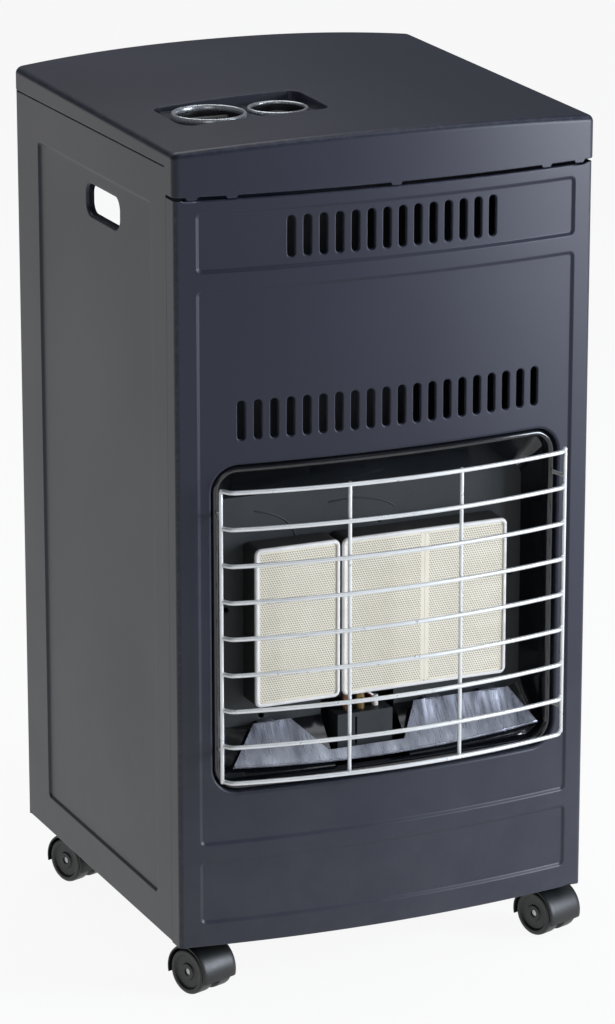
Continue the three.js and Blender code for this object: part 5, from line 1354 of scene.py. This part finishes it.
WHEEL_RADIUS = 21.0
WHEEL_WIDTH = 14.0
HOOD_RADIUS = 25.5
HOOD_SKIN = 2.6
HOOD_WEB = 8.0
HOOD_TAIL = 6.0  # how far the fender reaches below the axle
HOOD_BORE = 3.6
WHEEL_BORE = 3.3
WHEEL_HUB = 8.0
WHEEL_GAP = 0.8
TRAIL = 14.0
CASTER_TURN = math.radians(-70)
CASTERS = {"front_left": (-174, 38), "front_right": (174, 38),
           "rear_left": (-174, 342), "rear_right": (174, 342)}
wheel_inner = HOOD_WEB / 2 + WHEEL_GAP
hood_half = wheel_inner + WHEEL_WIDTH + WHEEL_GAP


def hood_shell():
    """Twin-wheel fender with a crowned top, in the caster's own frame."""
    h, r, well, web = hood_half, HOOD_RADIUS, HOOD_RADIUS - HOOD_SKIN, HOOD_WEB / 2
    profile = round_profile([
        (r - 1.0, -h, 1.0), (r - 0.1, -h + 3, 4), (r, 0, 4), (r - 0.1, h - 3, 4), (r - 1.0, h, 1.0),
        (well, h, 0.4), (well, web, 2.0), (HOOD_BORE, web, 0.3), (HOOD_BORE, -web, 0.3), (well, -web, 2.0),
        (well, -h, 0.4),
    ], 4)
    low = math.asin(HOOD_TAIL / HOOD_RADIUS)
    rings = []
    for a in np.linspace(-low, math.pi + low, 40):
        rings.append([(TRAIL + p * math.cos(a), y, WHEEL_RADIUS + p * math.sin(a)) for p, y in profile])
    return tube_between(rings)


def turned_to(points, spot):
    """Points of a caster, turned with it and moved to its spot."""
    points = np.asarray(points, float)
    c, s = math.cos(CASTER_TURN), math.sin(CASTER_TURN)
    x = points[:, 0] * c - points[:, 1] * s
    y = points[:, 0] * s + points[:, 1] * c
    return np.column_stack([x + spot[0], y + spot[1], points[:, 2] + FLOOR])


def wheel(side):
    """One wheel with a sunk face round its hub."""
    r, w = WHEEL_RADIUS, WHEEL_WIDTH
    profile = round_profile([
        (WHEEL_BORE, 0, 0.2), (r, 0, 1.2), (r, w, 2.4), (r - 4.6, w, 0.8), (r - 6, w - 2, 0.8),
        (WHEEL_HUB, w - 2, 0.5), (WHEEL_HUB - 0.6, w - 0.8, 0.5), (WHEEL_BORE, w - 0.8, 0.2),
    ], 4)
    profile = [(p, side * (wheel_inner + y)) for p, y in profile]
    return lathe(profile, (TRAIL, 0, WHEEL_RADIUS), "y", 56)


hood_points, hood_faces = hood_shell()
hood_stem = WHEEL_RADIUS + math.sqrt((HOOD_RADIUS - HOOD_SKIN) ** 2 - TRAIL**2)
for name, spot in CASTERS.items():
    node = "caster_" + name + "_hood"
    top = box_of(node)[1][2] - FLOOR
    boss = round_profile([(5, hood_stem + 1.6, 0.2), (12, hood_stem + 1.6, 1), (12, top - 4.4, 1.5),
                          (9, top - 3.2, 1), (9, top, 0.8), (5, top, 0.2)], 4)
    hood = [(turned_to(hood_points, spot), hood_faces), lathe(boss, (*spot, FLOOR), sides=40)]
    show(node + "_fender", hood, "swivel_" + name, [node], "caster_plastic", 40)
    for label, side in (("left", 1), ("right", -1)):
        points, faces = wheel(side)
        node = "caster_" + name + "_wheel_" + label
        tyre = (turned_to(points, spot), faces)
        show(node + "_tyre", [tyre], "wheels_" + name, [node], "caster_plastic", 40)

# ---------------- floor, light, camera

FLOOR_GLOW = 0.92  # share of the floor that shows as plain white, the rest as lit
FLOOR_REACH = 40.0
FLOOR_DROP = 0.0002  # keeps the wheels off the floor's surface
floor_z = cad_box[0].z - FLOOR_DROP
mesh = bpy.data.meshes.new("floor")
corners = [(x * FLOOR_REACH, y * FLOOR_REACH, floor_z) for x, y in ((-1, -1), (1, -1), (1, 1), (-1, 1))]
mesh.from_pydata(corners, [], [(0, 1, 2, 3)])
floor = bpy.data.objects.new("floor", mesh)
bpy.context.scene.collection.objects.link(floor)

pale = Finish("pale_floor")
path = pale.node("ShaderNodeLightPath")
glow = pale.node("ShaderNodeEmission", {"Strength": 1.0})
blend = pale.node("ShaderNodeMixShader")
shown = pale.math("MAXIMUM", path.outputs["Is Camera Ray"], path.outputs["Is Glossy Ray"])
shown = pale.math("MAXIMUM", shown, path.outputs["Is Transmission Ray"])
pale.put(pale.math("MULTIPLY", shown, FLOOR_GLOW), blend.inputs[0])
tone = pale.mix(pale.spread(pale.noise(3), 0, 1), "e9e9e9", "ededed")
pale.end(tone, 0.9, pale.bump(pale.noise(200), 0.0001))
pale.tree.links.new(pale.shader.outputs[0], blend.inputs[1])
pale.tree.links.new(glow.outputs[0], blend.inputs[2])
pale.tree.links.new(blend.outputs[0], pale.tree.nodes["Material Output"].inputs["Surface"])
mesh.materials.append(pale.material)

world = bpy.data.worlds.new("studio")
bpy.context.scene.world = world
world.use_nodes = True
sky = world.node_tree.nodes["Background"]
sky.inputs["Color"].default_value = (0.86, 0.9, 1.0, 1)
sky.inputs["Strength"].default_value = 0.14


def softbox(name, place, target, width, height, power, tint):
    """A lamp of width by height, turned to a target."""
    light = bpy.data.lights.new(name, "AREA")
    light.color = tint
    light.shape = "RECTANGLE"
    light.size, light.size_y, light.energy = width, height, power
    lamp = bpy.data.objects.new(name, light)
    bpy.context.scene.collection.objects.link(lamp)
    lamp.location = place
    lamp.rotation_euler = (Vector(target) - Vector(place)).to_track_quat("-Z", "Y").to_euler()


softbox("key", (1.85, -1.6, 0.8), (0, 0, 0.45), 0.9, 1.1, 68, (0.82, 0.88, 1.0))
softbox("overhead", (0, 1.2, 2.8), (0, 0, 0.6), 1.8, 1.8, 30, (1, 1, 1))
softbox("edge", (0.9, -0.8, 2.7), (0, 0, 0.6), 1.5, 1.2, 12, (0.92, 0.96, 1.0))
softbox("fill", (-1.4, -3.4, 1.5), (0, 0, 0.3), 1.4, 1.4, 8, (1, 0.98, 0.95))

scene = bpy.context.scene
scene.view_settings.view_transform = "Standard"

CAMERA_PLACE = (-1626.0, -3483.0, 1536.0)
CAMERA_TILT = 90 - 16.70
CAMERA_TURN = -23.99
CAMERA_LENS = 159.4
camera = bpy.data.cameras.new("camera")
camera.lens = CAMERA_LENS
camera_object = bpy.data.objects.new("camera", camera)
scene.collection.objects.link(camera_object)
camera_object.location = Vector(in_frame(CAMERA_PLACE))
camera_object.rotation_euler = Euler((math.radians(CAMERA_TILT), 0, math.radians(CAMERA_TURN)), "XYZ")
scene.camera = camera_object
